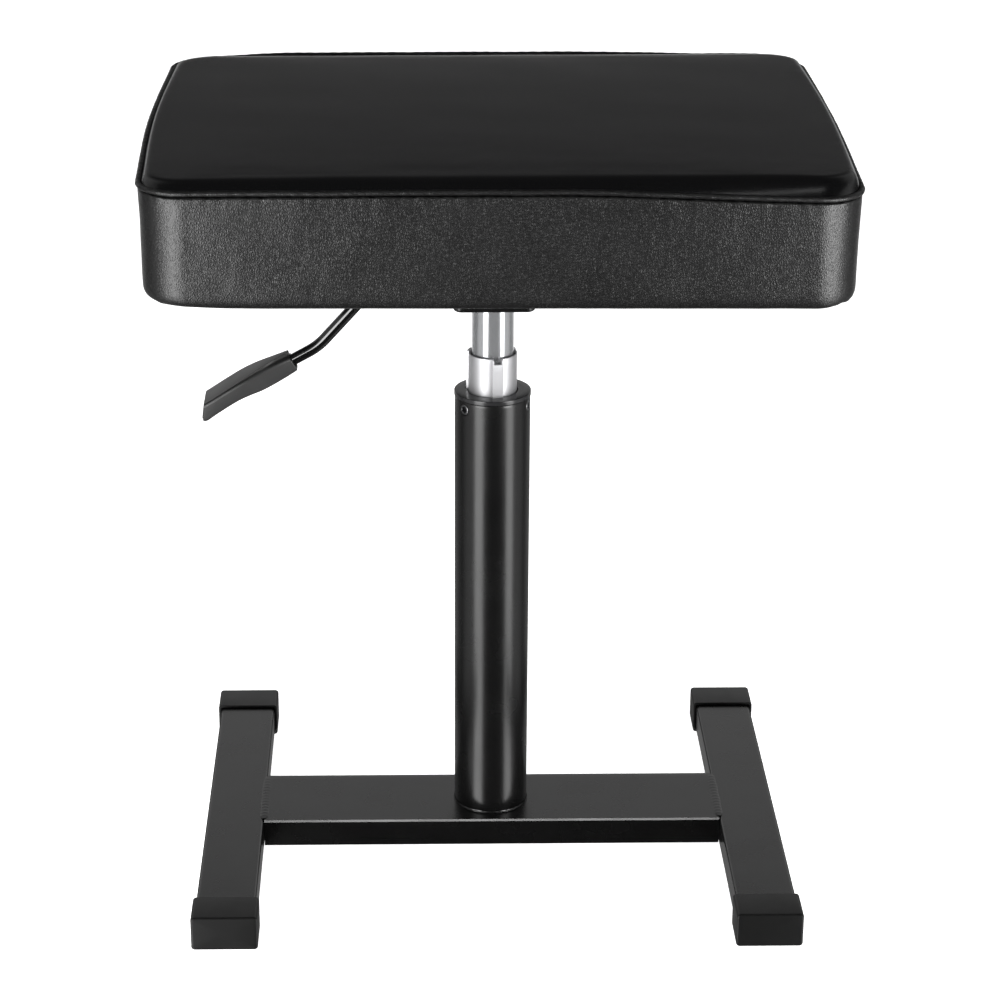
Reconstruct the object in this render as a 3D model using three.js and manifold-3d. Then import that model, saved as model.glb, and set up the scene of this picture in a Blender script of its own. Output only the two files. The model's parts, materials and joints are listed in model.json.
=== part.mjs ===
// An upholstered bench whose height is set by a gas spring: a welded H base, a telescopic column
// that is keyed so that the seat can't turn, a release lever and a padded rectangular seat.
// Millimetres. +Z is up, X runs along the bench and Y from its front to its back. The origin is on
// the floor, below the middle of the column.
import * as THREE from "three";
import { mergeVertices } from "three/addons/utils/BufferGeometryUtils.js";
import Module from "manifold-3d";

const kernel = await Module();
kernel.setup();

// Clearances and facet counts.
const fitGap = 0.3; // between pieces that are seated, welded or sewn together
const runningGap = 0.2; // on the radius, between a sliding or turning piece and its bore
const cutOverrun = 2; // how far a cutter reaches past the face that it opens
const weldTolerance = 1e-4; // vertices closer than this are one vertex
const columnFacets = 48;
const turnedFacets = 32;
const smallFacets = 16;
const cornerSteps = 4;
const sideSteps = 6; // of a seat side, between its rounded corners
const hexagonSides = 6;

// Base: two foot tubes, a crossbar and four end caps.
const baseWidth = 403; // over the end caps
const baseDepth = 342; // over the end caps
const footTubeWidth = 40;
const footTubeHeight = 20;
const frameTubeWall = 1.5;
const frameTubeCorner = 2.2; // outside radius of a tube's long edges
const crossbarDepth = 70;
const crossbarHeight = 20;
const rodAccessDiameter = 34; // opening below the crossbar, for fitting the rod's clip
const capWall = 1.9;
const capFace = 3; // thickness of the end face
const capLength = 28;
const capCorner = 2.4; // radius of the cap's long edges
const capBevel = 1.2; // rounding of the cap's end edges
const footWeldWidth = 6;
const footWeldHeight = 0.7;
const footWeldLength = 64;
const columnWeldLeg = 3;
const weldSlopeShare = 0.62; // of the leg, at the middle of the bead's slope

// Column: the outer tube, its keyed guide collar and the set screws that hold the collar.
const columnDiameter = 50.8;
const columnWall = 2;
const columnTubeLength = 304;
const collarFlangeDiameter = 51.6;
const collarFlangeThickness = 3;
const collarBodyLength = 62;
const collarEdge = 0.7; // chamfer of the flange
const setScrewDiameter = 7.4;
const setScrewLength = 5.6;
const setScrewRecess = 0.9; // how far the screw lies below the tube's surface
const setScrewDrop = 5.6; // screw axis below the upper end of the tube
const setScrewSocket = 4; // across the flats of the hexagon
const setScrewSocketDepth = 2.6;
const setScrewHoleGap = 0.35; // around the screw, on the radius
const keyCount = 3;
const keyTurn = 10; // degrees from the front to the first key, towards +X

// Sliding sleeve with three keys, fixed on the gas spring.
const sleeveDiameter = 32.5;
const sleeveLength = 230;
const sleeveRise = 26.4; // sleeve above the collar, with the seat as modelled
const keyWidth = 7.3;
const keyRise = 1.3; // how far a key stands out of the sleeve
const notchWidth = 5.2;
const notchDepth = 3.4;

// Gas spring: cylinder, taper, valve, rod and piston.
const cylinderDiameter = 28;
const cylinderWall = 1.5;
const cylinderShown = 38.8; // cylinder between the sleeve and the release housing
const cylinderTail = 16; // cylinder below the sleeve
const cylinderEdge = 0.6;
const taperLength = 21;
const taperTopDiameter = 26.6;
const cylinderHeadThickness = 4;
const valveBodyLength = 22;
const valvePinDiameter = 8;
const valvePinLength = 26;
const valvePinRise = 5; // pin above the cylinder's head
const valvePinDome = 1; // height of its rounded top
const rodGuideLength = 18;
const rodDiameter = 10;
const rodTenonDiameter = 8;
const rodTenonTail = 4; // tenon below the clip
const rodHeadDiameter = 6;
const rodLength = 202; // from the shoulder on the washer to the piston
const pistonLength = 11;
const pistonGroove = 1;

// Seat of the rod at the bottom of the column.
const columnFloorThickness = 5;
const rodWasherDiameter = 24;
const rodWasherThickness = 2;
const bufferDiameter = 22;
const bufferLength = 14;
const clipThickness = 1.2;
const clipDiameter = 15;
const clipGrooveDepth = 0.8;
const clipOpening = 5;

// Release mechanism below the seat.
const housingWidth = 54;
const housingDepth = 72;
const housingWall = 2;
const housingCorner = 6;
const housingHeight = 42.7;
const housingEdge = 2.4; // rounding of its lower edge
const socketDiameter = 36;
const seatPlateWidth = 196;
const seatPlateDepth = 156;
const seatPlateThickness = 2.5;
const seatPlateCorner = 10;
const seatPlateFlange = 9; // height of the edges turned down at front and back
const boltSpacingX = 160;
const boltSpacingY = 120;
const boltDiameter = 6;
const boltHeadAcross = 10; // across the flats
const boltHeadHeight = 4.4;
const boltFlangeDiameter = 14;
const boltFlangeThickness = 1.3;
const boltLength = 14;
const teeNutFlangeDiameter = 18;
const teeNutFlangeThickness = 1.4;
const teeNutBarrelDiameter = 8;
const teeNutLength = 10;

// Lever: rocker, pivot pin, bent rod and paddle.
const pivotOffset = 18; // pivot pin to the left of the column's axis
const pivotDrop = 6; // pivot axis below the seat plate
const pivotDiameter = 5;
const pivotHeadDiameter = 8;
const pivotHeadThickness = 1.6;
const rockerWidth = 14;
const rockerLeftReach = 4.4; // rocker beyond the pivot
const rockerRightReach = 24;
const rockerTopReach = 5; // rocker above the pivot
const noseGap = 0.4; // between the rocker and the valve pin
const leverTravel = 8.5; // degrees
const leverRodDiameter = 8;
const leverRodDrop = 8.6; // rod axis below the pivot
const leverSlotRoomZ = 10; // slot in the housing's side, taller than the rod
const leverSlotRoomY = 5; // and wider
const leverRodInset = 6; // inner end of the rod to the left of the column's axis
const leverRunOut = 54; // from the inner end to the first bend
const leverSecondLeg = 84.3; // between the bends
const leverThirdLeg = 20.1; // from the second bend to the paddle
const leverGripDepth = 30; // rod inside the paddle
const firstBendRadius = 22;
const secondBendRadius = 44;
const firstSlope = 48; // degrees below the horizontal, after the first bend
const secondSlope = 29;
const leverRodSides = 12;
const leverRodSteps = 36;
const paddleLength = 66;
const paddleWidth = 25;
const paddleThickness = 12;

// Seat: board, foam and sewn cover.
const seatWidth = 437; // over the piping
const seatDepth = 339;
const seatCorner = 29; // plan radius at the piping
const seatThickness = 74.7; // from the cover's underside to the top of the piping
const crownRise = 5; // middle of the top panel above its edge
const drawIn = 1.4; // how far the middle of each side is pulled in
const pipingDiameter = 4.6;
const pipingSides = 8;
const coverThickness = 1.1;
const bandInset = 1.7; // side band behind the outer face of the piping
const bandTaper = 1; // further inset of the band at its lower edge
const bandEdge = 9; // rounding of the lower edge
const edgeMiddleShare = 0.3; // of a rounding, at the middle of its arc
const crownFlatness = 2.4; // exponent of the crown, larger for a flatter middle
const coverTurnUnder = 26; // cover below the board
const leastCornerShare = 0.25; // of the seat's corner radius, for the innermost turn of the cover
const boardThickness = 12;
const dustCoverThickness = 0.8;
const dustCoverInset = 16; // from the outer face of the piping

// Finishes.
function finish(color, roughness, metalness) {
  return new THREE.MeshStandardMaterial({ color, roughness, metalness });
}

const blackPaint = finish(0x1f1f20, 0.45, 0.2);
const blackPlastic = finish(0x262627, 0.55, 0);
const aluminium = finish(0xd9dadb, 0.3, 1);
const cylinderSteel = finish(0x9a9b9d, 0.25, 1);
const plainSteel = finish(0xa8a8a6, 0.35, 1);
const zincSteel = finish(0xc2c0b4, 0.4, 1);
const rubber = finish(0x1a1a1a, 0.85, 0);
const plywood = finish(0xc9a876, 0.7, 0);
const foam = finish(0xe6dfc8, 0.9, 0);
const topVinyl = finish(0x2a2a2b, 0.5, 0);
const sideVinyl = finish(0x353536, 0.6, 0);
const dustCloth = finish(0x161616, 0.95, 0);

// Places worked out from the sizes above.
const degrees = Math.PI / 180;
const frontAngle = -Math.PI / 2;
const keyAngles = Array.from(
  { length: keyCount },
  (_, index) => frontAngle + keyTurn * degrees + (index * 2 * Math.PI) / keyCount,
);
const screwAngles = keyAngles.map((angle) => angle + Math.PI / keyCount);
const capGap = fitGap / 2;
const tubeBottom = capWall + capGap;
const frameTop = tubeBottom + footTubeHeight;
const capWidth = footTubeWidth + 2 * (capWall + capGap);
const capHeight = footTubeHeight + 2 * (capWall + capGap);
const footX = (baseWidth - capWidth) / 2;
const footTubeLength = baseDepth - 2 * (capFace + fitGap);
const crossbarLength = 2 * (footX - footTubeWidth / 2 - fitGap);
const columnBottom = frameTop + fitGap;
const columnTubeTop = columnBottom + columnTubeLength;
const collarTop = columnTubeTop + fitGap + collarFlangeThickness;
const columnBore = columnDiameter - 2 * columnWall;
const sleeveTop = collarTop + sleeveRise;
const sleeveBottom = sleeveTop - sleeveLength;
const cylinderBottom = sleeveBottom - cylinderTail;
const housingBottom = sleeveTop + cylinderShown;
const taperBottom = housingBottom + fitGap;
const cylinderTop = taperBottom + taperLength;
const cylinderBore = cylinderDiameter - 2 * cylinderWall;
const plateBottom = housingBottom + housingHeight + fitGap;
const dustCoverBottom = plateBottom + seatPlateThickness + fitGap;
const seatBottom = dustCoverBottom + dustCoverThickness + fitGap;
const pipingTop = seatBottom + seatThickness;
const pivotZ = plateBottom - pivotDrop;
const leverRodZ = pivotZ - leverRodDrop;
const columnFloorTop = columnBottom + columnFloorThickness;
const rodShoulder = columnFloorTop + rodWasherThickness + 2 * fitGap;
const coverBottom = seatBottom + coverThickness;
const boardBottom = coverBottom + fitGap;
const boardTop = boardBottom + boardThickness;

// A closed shell from rings of points, first ring lowest or outermost as the caller orders them.
// With loop set the last ring joins the first, and otherwise a fan closes each end.
function loft(rings, loop = false) {
  const count = rings[0].length;
  const positions = rings.flat().flatMap((point) => [point.x, point.y, point.z]);
  const faces = [];
  const bands = loop ? rings.length : rings.length - 1;
  for (let band = 0; band < bands; band += 1) {
    const low = band * count;
    const high = ((band + 1) % rings.length) * count;
    for (let side = 0; side < count; side += 1) {
      const next = (side + 1) % count;
      faces.push(low + side, low + next, high + next);
      faces.push(low + side, high + next, high + side);
    }
  }
  if (!loop) {
    const closeEnd = (start, ring, reverse) => {
      const middle = new THREE.Vector3();
      ring.forEach((point) => middle.add(point));
      middle.divideScalar(count);
      const apex = positions.length / 3;
      positions.push(middle.x, middle.y, middle.z);
      for (let side = 0; side < count; side += 1) {
        const next = (side + 1) % count;
        const edge = reverse ? [next, side] : [side, next];
        faces.push(start + edge[0], start + edge[1], apex);
      }
    };
    closeEnd(0, rings[0], true);
    closeEnd((rings.length - 1) * count, rings[rings.length - 1], false);
  }
  const geometry = new THREE.BufferGeometry();
  geometry.setAttribute("position", new THREE.Float32BufferAttribute(positions, 3));
  geometry.setIndex(faces);
  return geometry;
}

// Six times the volume that the triangles enclose, negative when they face inwards.
function signedVolume(vertices, faces) {
  const corner = [new THREE.Vector3(), new THREE.Vector3(), new THREE.Vector3()];
  let sum = 0;
  for (let face = 0; face < faces.length; face += 3) {
    corner.forEach((point, index) => point.fromArray(vertices, faces[face + index] * 3));
    sum += corner[0].dot(corner[1].cross(corner[2]));
  }
  return sum;
}

// A three.js geometry as a solid, with its shared vertices merged and its faces pointing out.
function solid(geometry) {
  const bare = geometry.clone();
  bare.deleteAttribute("normal");
  bare.deleteAttribute("uv");
  const merged = mergeVertices(bare, weldTolerance);
  const vertices = merged.getAttribute("position").array;
  const index = merged.getIndex().array;
  const faces = [];
  for (let face = 0; face < index.length; face += 3) {
    const [a, b, c] = index.slice(face, face + 3);
    if (a !== b && b !== c && c !== a) faces.push(a, b, c);
  }
  if (signedVolume(vertices, faces) < 0) faces.reverse();
  const vertProperties = new Float32Array(vertices);
  const triVerts = new Uint32Array(faces);
  return new kernel.Manifold(new kernel.Mesh({ numProp: 3, vertProperties, triVerts }));
}

// A solid as a geometry that three.js can draw.
function geometryOf(body) {
  const mesh = body.getMesh();
  const geometry = new THREE.BufferGeometry();
  geometry.setAttribute("position", new THREE.BufferAttribute(new Float32Array(mesh.vertProperties), 3));
  geometry.setIndex(new THREE.BufferAttribute(new Uint32Array(mesh.triVerts), 1));
  const drawn = geometry.toNonIndexed();
  drawn.computeVertexNormals();
  return drawn;
}

function named(name, body, material, x = 0, y = 0, z = 0) {
  const mesh = new THREE.Mesh(geometryOf(body), material);
  mesh.name = name;
  mesh.position.set(x, y, z);
  return mesh;
}

// A turned piece about Z. The profile lists [radius, height] pairs and closes on itself or on the axis.
function turned(profile, facets = turnedFacets) {
  const points = profile.map(([radius, height]) => new THREE.Vector2(radius, height));
  return solid(new THREE.LatheGeometry(points, facets).rotateX(Math.PI / 2));
}

// A ring about Z with a bore through it.
function ring(innerRadius, outerRadius, height, facets = turnedFacets) {
  return turned(
    [
      [innerRadius, 0],
      [outerRadius, 0],
      [outerRadius, height],
      [innerRadius, height],
      [innerRadius, 0],
    ],
    facets,
  );
}

// A round bar about Z from 0 up to the given height.
function bar(radius, height, facets = smallFacets) {
  return solid(new THREE.CylinderGeometry(radius, radius, height, facets).rotateX(Math.PI / 2)).translate([
    0,
    0,
    height / 2,
  ]);
}

function block(width, depth, height) {
  return solid(new THREE.BoxGeometry(width, depth, height)).translate([0, 0, height / 2]);
}

// A hexagonal bar about Z, given across its flats.
function hexagon(across, height) {
  return bar(across / 2 / Math.cos(Math.PI / hexagonSides), height, hexagonSides);
}

// A rounded rectangle centred on the origin, anticlockwise from the middle of its right side.
function roundedOutline(halfX, halfY, radius) {
  const points = [];
  const corners = [
    [1, 1],
    [-1, 1],
    [-1, -1],
    [1, -1],
  ];
  corners.forEach(([signX, signY], quarter) => {
    for (let step = 0; step <= cornerSteps; step += 1) {
      const angle = (quarter + step / cornerSteps) * (Math.PI / 2);
      points.push(
        new THREE.Vector2(
          signX * (halfX - radius) + radius * Math.cos(angle),
          signY * (halfY - radius) + radius * Math.sin(angle),
        ),
      );
    }
  });
  return points;
}

function roundedShape(width, height, radius) {
  return new THREE.Shape(roundedOutline(width / 2, height / 2, radius));
}

function extruded(shape, depth) {
  return solid(new THREE.ExtrudeGeometry(shape, { depth, bevelEnabled: false, curveSegments: smallFacets }));
}

// A rectangular tube along Y, centred on the origin.
function rectangularTube(width, height, length) {
  const shape = roundedShape(width, height, frameTubeCorner);
  const inside = roundedShape(
    width - 2 * frameTubeWall,
    height - 2 * frameTubeWall,
    frameTubeCorner - frameTubeWall,
  );
  shape.holes.push(new THREE.Path(inside.getPoints().reverse()));
  return extruded(shape, length).rotate([90, 0, 0]).translate([0, length / 2, 0]);
}

// The moulded cap on a foot tube's end, open towards +Y, with its face at Y = 0.
function endCap() {
  const shape = roundedShape(capWidth - 2 * capBevel, capHeight - 2 * capBevel, capCorner - capBevel);
  const outside = solid(
    new THREE.ExtrudeGeometry(shape, {
      depth: capLength - 2 * capBevel,
      bevelThickness: capBevel,
      bevelSize: capBevel,
      bevelSegments: 2,
    }),
  )
    .rotate([90, 0, 0])
    .translate([0, capLength - capBevel, 0]);
  const pocketShape = roundedShape(
    footTubeWidth + 2 * capGap,
    footTubeHeight + 2 * capGap,
    frameTubeCorner + capGap,
  );
  const pocketLength = capLength - capFace + cutOverrun;
  const pocket = extruded(pocketShape, pocketLength)
    .rotate([90, 0, 0])
    .translate([0, capFace + pocketLength, 0]);
  return outside.subtract(pocket);
}

// A weld bead that lies on a joint along Y, half an ellipse in section.
function seamWeld() {
  const shape = new THREE.Shape();
  shape.absellipse(0, 0, footWeldWidth / 2, footWeldHeight, 0, Math.PI, false, 0);
  shape.closePath();
  return extruded(shape, footWeldLength)
    .rotate([90, 0, 0])
    .translate([0, footWeldLength / 2, 0]);
}

function baseFrame() {
  const group = new THREE.Group();
  const tubeMiddle = tubeBottom + footTubeHeight / 2;
  [-1, 1].forEach((side) => {
    const sideName = side < 0 ? "left" : "right";
    const x = side * footX;
    const tube = rectangularTube(footTubeWidth, footTubeHeight, footTubeLength);
    group.add(named("foot_tube_" + sideName, tube, blackPaint, x, 0, tubeMiddle));
    const seamX = side * (footX - footTubeWidth / 2 - fitGap / 2);
    group.add(named("foot_weld_" + sideName, seamWeld(), blackPaint, seamX, 0, frameTop + fitGap / 2));
    [-1, 1].forEach((end) => {
      const endName = end < 0 ? "front" : "back";
      const cap = named("end_cap_" + endName + "_" + sideName, endCap(), blackPlastic);
      cap.position.set(x, (end * baseDepth) / 2, capHeight / 2);
      cap.rotation.z = end < 0 ? 0 : Math.PI;
      group.add(cap);
    });
  });
  const rodHole = bar(rodTenonDiameter / 2 + fitGap, crossbarHeight);
  const accessHole = bar(rodAccessDiameter / 2, crossbarHeight, turnedFacets).translate([
    0,
    0,
    -crossbarHeight,
  ]);
  const crossbar = rectangularTube(crossbarDepth, crossbarHeight, crossbarLength)
    .rotate([0, 0, 90])
    .subtract(rodHole)
    .subtract(accessHole);
  group.add(named("crossbar", crossbar, blackPaint, 0, 0, frameTop - crossbarHeight / 2));
  return group;
}

// A round core with keys along it, about Z. A gap on all sides turns it into the cutter of its guide.
function keyedCore(height, gap) {
  const radius = sleeveDiameter / 2 + gap;
  const keyReach = sleeveDiameter / 2 + keyRise + gap;
  return keyAngles.reduce(
    (body, angle) =>
      body.add(
        block(keyReach, keyWidth + 2 * gap, height)
          .translate([keyReach / 2, 0, 0])
          .rotate([0, 0, angle / degrees]),
      ),
    bar(radius, height, columnFacets),
  );
}

// Drills the set screws' holes into a piece, each as a round bar from its inner to its outer reach.
function cutScrewHoles(body, radius, reachIn, reachOut, z) {
  return screwAngles.reduce(
    (rest, angle) =>
      rest.subtract(
        bar(radius, reachOut - reachIn)
          .rotate([0, 90, 0])
          .translate([reachIn, 0, z])
          .rotate([0, 0, angle / degrees]),
      ),
    body,
  );
}

function columnTube() {
  const tube = ring(columnBore / 2, columnDiameter / 2, columnTubeLength, columnFacets);
  return cutScrewHoles(
    tube,
    setScrewDiameter / 2 + setScrewHoleGap,
    columnBore / 2 - cutOverrun,
    columnDiameter / 2 + cutOverrun,
    columnTubeLength - setScrewDrop,
  );
}

function guideCollar() {
  const bodyRadius = columnBore / 2 - runningGap;
  const flangeRadius = collarFlangeDiameter / 2;
  const flangeBottom = collarBodyLength + fitGap;
  const flangeTop = flangeBottom + collarFlangeThickness;
  const blank = turned(
    [
      [0, 0],
      [bodyRadius, 0],
      [bodyRadius, flangeBottom],
      [flangeRadius, flangeBottom],
      [flangeRadius, flangeTop - collarEdge],
      [flangeRadius - collarEdge, flangeTop],
      [0, flangeTop],
    ],
    columnFacets,
  );
  const bored = blank.subtract(
    keyedCore(flangeTop + 2 * cutOverrun, runningGap).translate([0, 0, -cutOverrun]),
  );
  return cutScrewHoles(
    bored,
    setScrewDiameter / 2 + setScrewHoleGap,
    columnDiameter / 2 - setScrewRecess - setScrewLength - fitGap,
    columnDiameter / 2 + cutOverrun,
    collarBodyLength - setScrewDrop,
  );
}

// A headless screw along X, its socket towards +X.
function setScrew() {
  return bar(setScrewDiameter / 2, setScrewLength)
    .subtract(
      hexagon(setScrewSocket, setScrewSocketDepth + cutOverrun).translate([
        0,
        0,
        setScrewLength - setScrewSocketDepth,
      ]),
    )
    .rotate([0, 90, 0]);
}

// A bead round the foot of the column, with its slope towards the outside.
function columnWeld() {
  const inner = columnDiameter / 2 + fitGap;
  return turned(
    [
      [inner, 0],
      [inner + columnWeldLeg, 0],
      [inner + columnWeldLeg * weldSlopeShare, columnWeldLeg * weldSlopeShare],
      [inner, columnWeldLeg],
      [inner, 0],
    ],
    columnFacets,
  );
}

// A spring clip, open on one side.
function retainingClip() {
  const inner = rodTenonDiameter / 2 - clipGrooveDepth + fitGap / 2;
  return ring(inner, clipDiameter / 2, clipThickness, turnedFacets).subtract(
    block(clipDiameter, clipOpening, clipThickness + 2 * cutOverrun).translate([
      clipDiameter / 2,
      0,
      -cutOverrun,
    ]),
  );
}

// The rod from its tail below the clip to its head in the piston, with Z = 0 at its shoulder.
function pistonRod() {
  const tenon = rodTenonDiameter / 2;
  const grooveTop = clipTop() + fitGap - rodShoulder;
  const grooveBottom = grooveTop - clipThickness - 2 * fitGap;
  const tail = grooveBottom - rodTenonTail;
  return turned(
    [
      [0, tail],
      [tenon, tail],
      [tenon, grooveBottom],
      [tenon - clipGrooveDepth, grooveBottom],
      [tenon - clipGrooveDepth, grooveTop],
      [tenon, grooveTop],
      [tenon, 0],
      [rodDiameter / 2, 0],
      [rodDiameter / 2, rodLength],
      [rodHeadDiameter / 2, rodLength],
      [rodHeadDiameter / 2, rodLength + pistonLength + fitGap],
      [0, rodLength + pistonLength + fitGap],
    ],
    smallFacets,
  );
}

// The clip bears on the underside of the crossbar's upper wall.
function clipTop() {
  return frameTop - frameTubeWall - fitGap;
}

function piston() {
  const outer = cylinderBore / 2 - runningGap;
  const inner = rodHeadDiameter / 2 + fitGap / 2;
  return turned([
    [inner, 0],
    [outer, 0],
    [outer, pistonLength / 3],
    [outer - pistonGroove, pistonLength / 3],
    [outer - pistonGroove, (2 * pistonLength) / 3],
    [outer, (2 * pistonLength) / 3],
    [outer, pistonLength],
    [inner, pistonLength],
    [inner, 0],
  ]);
}

function columnParts() {
  const group = new THREE.Group();
  group.add(named("column_tube", columnTube(), blackPaint, 0, 0, columnBottom));
  group.add(named("column_weld", columnWeld(), blackPaint, 0, 0, frameTop + fitGap / 2));
  group.add(named("guide_collar", guideCollar(), blackPlastic, 0, 0, columnTubeTop - collarBodyLength));
  screwAngles.forEach((angle, index) => {
    const reach = columnDiameter / 2 - setScrewRecess - setScrewLength;
    const screw = named("collar_screw_" + (index + 1), setScrew(), zincSteel);
    screw.position.set(reach * Math.cos(angle), reach * Math.sin(angle), columnTubeTop - setScrewDrop);
    screw.rotation.z = angle;
    group.add(screw);
  });
  const rodHole = rodTenonDiameter / 2 + fitGap;
  const floorDisc = ring(rodHole, columnBore / 2 - fitGap, columnFloorThickness);
  group.add(named("column_floor", floorDisc, plainSteel, 0, 0, columnBottom));
  const washer = ring(rodHole, rodWasherDiameter / 2, rodWasherThickness);
  group.add(named("rod_washer", washer, zincSteel, 0, 0, columnFloorTop + fitGap));
  const buffer = ring(rodDiameter / 2 + fitGap, bufferDiameter / 2, bufferLength);
  group.add(named("rubber_buffer", buffer, rubber, 0, 0, rodShoulder));
  group.add(named("retaining_clip", retainingClip(), zincSteel, 0, 0, clipTop() - clipThickness));
  group.add(named("piston_rod", pistonRod(), plainSteel, 0, 0, rodShoulder));
  group.add(named("piston", piston(), plainSteel, 0, 0, rodShoulder + rodLength + fitGap));
  return group;
}

function keyedSleeve() {
  const bore = bar(cylinderDiameter / 2 + fitGap, sleeveLength + 2 * cutOverrun, columnFacets);
  const notch = block(sleeveDiameter, notchWidth, notchDepth + cutOverrun)
    .translate([sleeveDiameter / 2, 0, sleeveLength - notchDepth])
    .rotate([0, 0, keyAngles[0] / degrees]);
  return keyedCore(sleeveLength, 0)
    .subtract(bore.translate([0, 0, -cutOverrun]))
    .subtract(notch);
}

// The pressure tube, drawn in to a taper at its upper end, with Z = 0 at its open lower end.
function gasCylinder() {
  const outer = cylinderDiameter / 2;
  const inner = cylinderBore / 2;
  const pinHole = valvePinDiameter / 2 + runningGap;
  const top = cylinderTop - cylinderBottom;
  const taperStart = taperBottom - cylinderBottom;
  const taperTop = taperTopDiameter / 2;
  const headBottom = top - cylinderHeadThickness;
  return turned(
    [
      [inner, 0],
      [outer - cylinderEdge, 0],
      [outer, cylinderEdge],
      [outer, taperStart],
      [taperTop, top - cylinderEdge],
      [taperTop - cylinderEdge, top],
      [pinHole, top],
      [pinHole, headBottom],
      [taperTop - cylinderWall, headBottom],
      [inner, taperStart],
      [inner, 0],
    ],
    columnFacets,
  );
}

// The pin that opens the valve, rounded at its top, with Z = 0 at its lower end.
function valvePin() {
  const radius = valvePinDiameter / 2;
  const shoulder = valvePinLength - valvePinDome;
  const domeShares = [
    [1, 0],
    [0.75, 0.45],
    [0.5, 0.75],
    [0.25, 0.93],
  ];
  return turned(
    [
      [0, 0],
      [radius, 0],
      ...domeShares.map(([across, up]) => [radius * across, shoulder + valvePinDome * up]),
      [0, valvePinLength],
    ],
    smallFacets,
  );
}

function gasSpringParts() {
  const group = new THREE.Group();
  group.add(named("keyed_sleeve", keyedSleeve(), aluminium, 0, 0, sleeveBottom));
  group.add(named("gas_cylinder", gasCylinder(), cylinderSteel, 0, 0, cylinderBottom));
  const guide = ring(rodDiameter / 2 + runningGap, cylinderBore / 2 - runningGap, rodGuideLength);
  group.add(named("rod_guide", guide, blackPlastic, 0, 0, cylinderBottom + cylinderEdge));
  const valveRadius = taperTopDiameter / 2 - cylinderWall - fitGap;
  const valveBody = ring(valvePinDiameter / 2 + runningGap, valveRadius, valveBodyLength);
  const valveTop = cylinderTop - cylinderHeadThickness - fitGap;
  group.add(named("valve_body", valveBody, plainSteel, 0, 0, valveTop - valveBodyLength));
  return group;
}

// A pressed box, open at its top, about Z with Z = 0 at its floor.
function pressedBox(width, depth, height, corner, edge) {
  const roundingShares = [
    [1, 0],
    [edgeMiddleShare, edgeMiddleShare],
    [0, 1],
  ];
  const rings = roundingShares.map(([inward, up]) =>
    roundedOutline(width / 2 - edge * inward, depth / 2 - edge * inward, corner - edge * inward).map(
      (point) => new THREE.Vector3(point.x, point.y, edge * up),
    ),
  );
  const upper = roundedOutline(width / 2, depth / 2, corner);
  rings.push(upper.map((point) => new THREE.Vector3(point.x, point.y, height)));
  return solid(loft(rings));
}

function releaseHousing() {
  const inside = pressedBox(
    housingWidth - 2 * housingWall,
    housingDepth - 2 * housingWall,
    housingHeight + cutOverrun,
    housingCorner - housingWall,
    housingEdge / 2,
  ).translate([0, 0, housingWall]);
  const springHole = bar(cylinderDiameter / 2 + fitGap, housingWall + 2 * cutOverrun, turnedFacets);
  const pivotHole = bar(pivotDiameter / 2 + runningGap, housingDepth + 2 * cutOverrun)
    .rotate([90, 0, 0])
    .translate([-pivotOffset, housingDepth / 2 + cutOverrun, pivotZ - housingBottom]);
  const slotHeight = leverRodDiameter + leverSlotRoomZ;
  const slot = block(housingWall + 2 * cutOverrun, leverRodDiameter + leverSlotRoomY, slotHeight).translate([
    -(housingWidth - housingWall) / 2,
    0,
    leverRodZ - housingBottom - slotHeight / 2,
  ]);
  return pressedBox(housingWidth, housingDepth, housingHeight, housingCorner, housingEdge)
    .subtract(inside)
    .subtract(springHole.translate([0, 0, -cutOverrun]))
    .subtract(pivotHole)
    .subtract(slot);
}

// The tapered bush that grips the cylinder, standing on the housing's floor.
function taperSocket() {
  const height = taperLength - housingWall - fitGap;
  const taperSlope = (cylinderDiameter - taperTopDiameter) / 2 / taperLength;
  const lowerBore = cylinderDiameter / 2 + fitGap - taperSlope * (housingWall + fitGap);
  const upperBore = lowerBore - taperSlope * height;
  const outer = socketDiameter / 2;
  return turned([
    [lowerBore, 0],
    [outer, 0],
    [outer, height],
    [upperBore, height],
    [lowerBore, 0],
  ]);
}

function boltPlaces() {
  return [-1, 1].flatMap((sideX) =>
    [-1, 1].map((sideY) => [(sideX * boltSpacingX) / 2, (sideY * boltSpacingY) / 2]),
  );
}

function withBoltHoles(body, radius, height) {
  return boltPlaces().reduce(
    (rest, [x, y]) =>
      rest.subtract(bar(radius, height + 2 * cutOverrun).translate([x, y, -cutOverrun])),
    body,
  );
}

function seatPlate() {
  const flat = extruded(
    roundedShape(seatPlateWidth, seatPlateDepth, seatPlateCorner),
    seatPlateThickness,
  );
  const flangeLength = seatPlateWidth - 2 * seatPlateCorner;
  const flangeY = (seatPlateDepth - seatPlateThickness) / 2;
  const flanged = [-1, 1].reduce(
    (body, side) =>
      body.add(
        block(flangeLength, seatPlateThickness, seatPlateFlange).translate([
          0,
          side * flangeY,
          seatPlateThickness - seatPlateFlange,
        ]),
      ),
    flat,
  );
  return withBoltHoles(flanged, boltDiameter / 2 + fitGap, seatPlateThickness);
}

// A flanged hexagon bolt pointing up, with Z = 0 at the underside of the plate.
function seatBolt() {
  const head = hexagon(boltHeadAcross, boltHeadHeight).translate([
    0,
    0,
    -boltFlangeThickness - boltHeadHeight,
  ]);
  const flange = bar(boltFlangeDiameter / 2, boltFlangeThickness).translate([0, 0, -boltFlangeThickness]);
  const shank = bar(boltDiameter / 2, boltLength + boltFlangeThickness).translate([
    0,
    0,
    -boltFlangeThickness,
  ]);
  return head.add(flange).add(shank);
}

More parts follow.
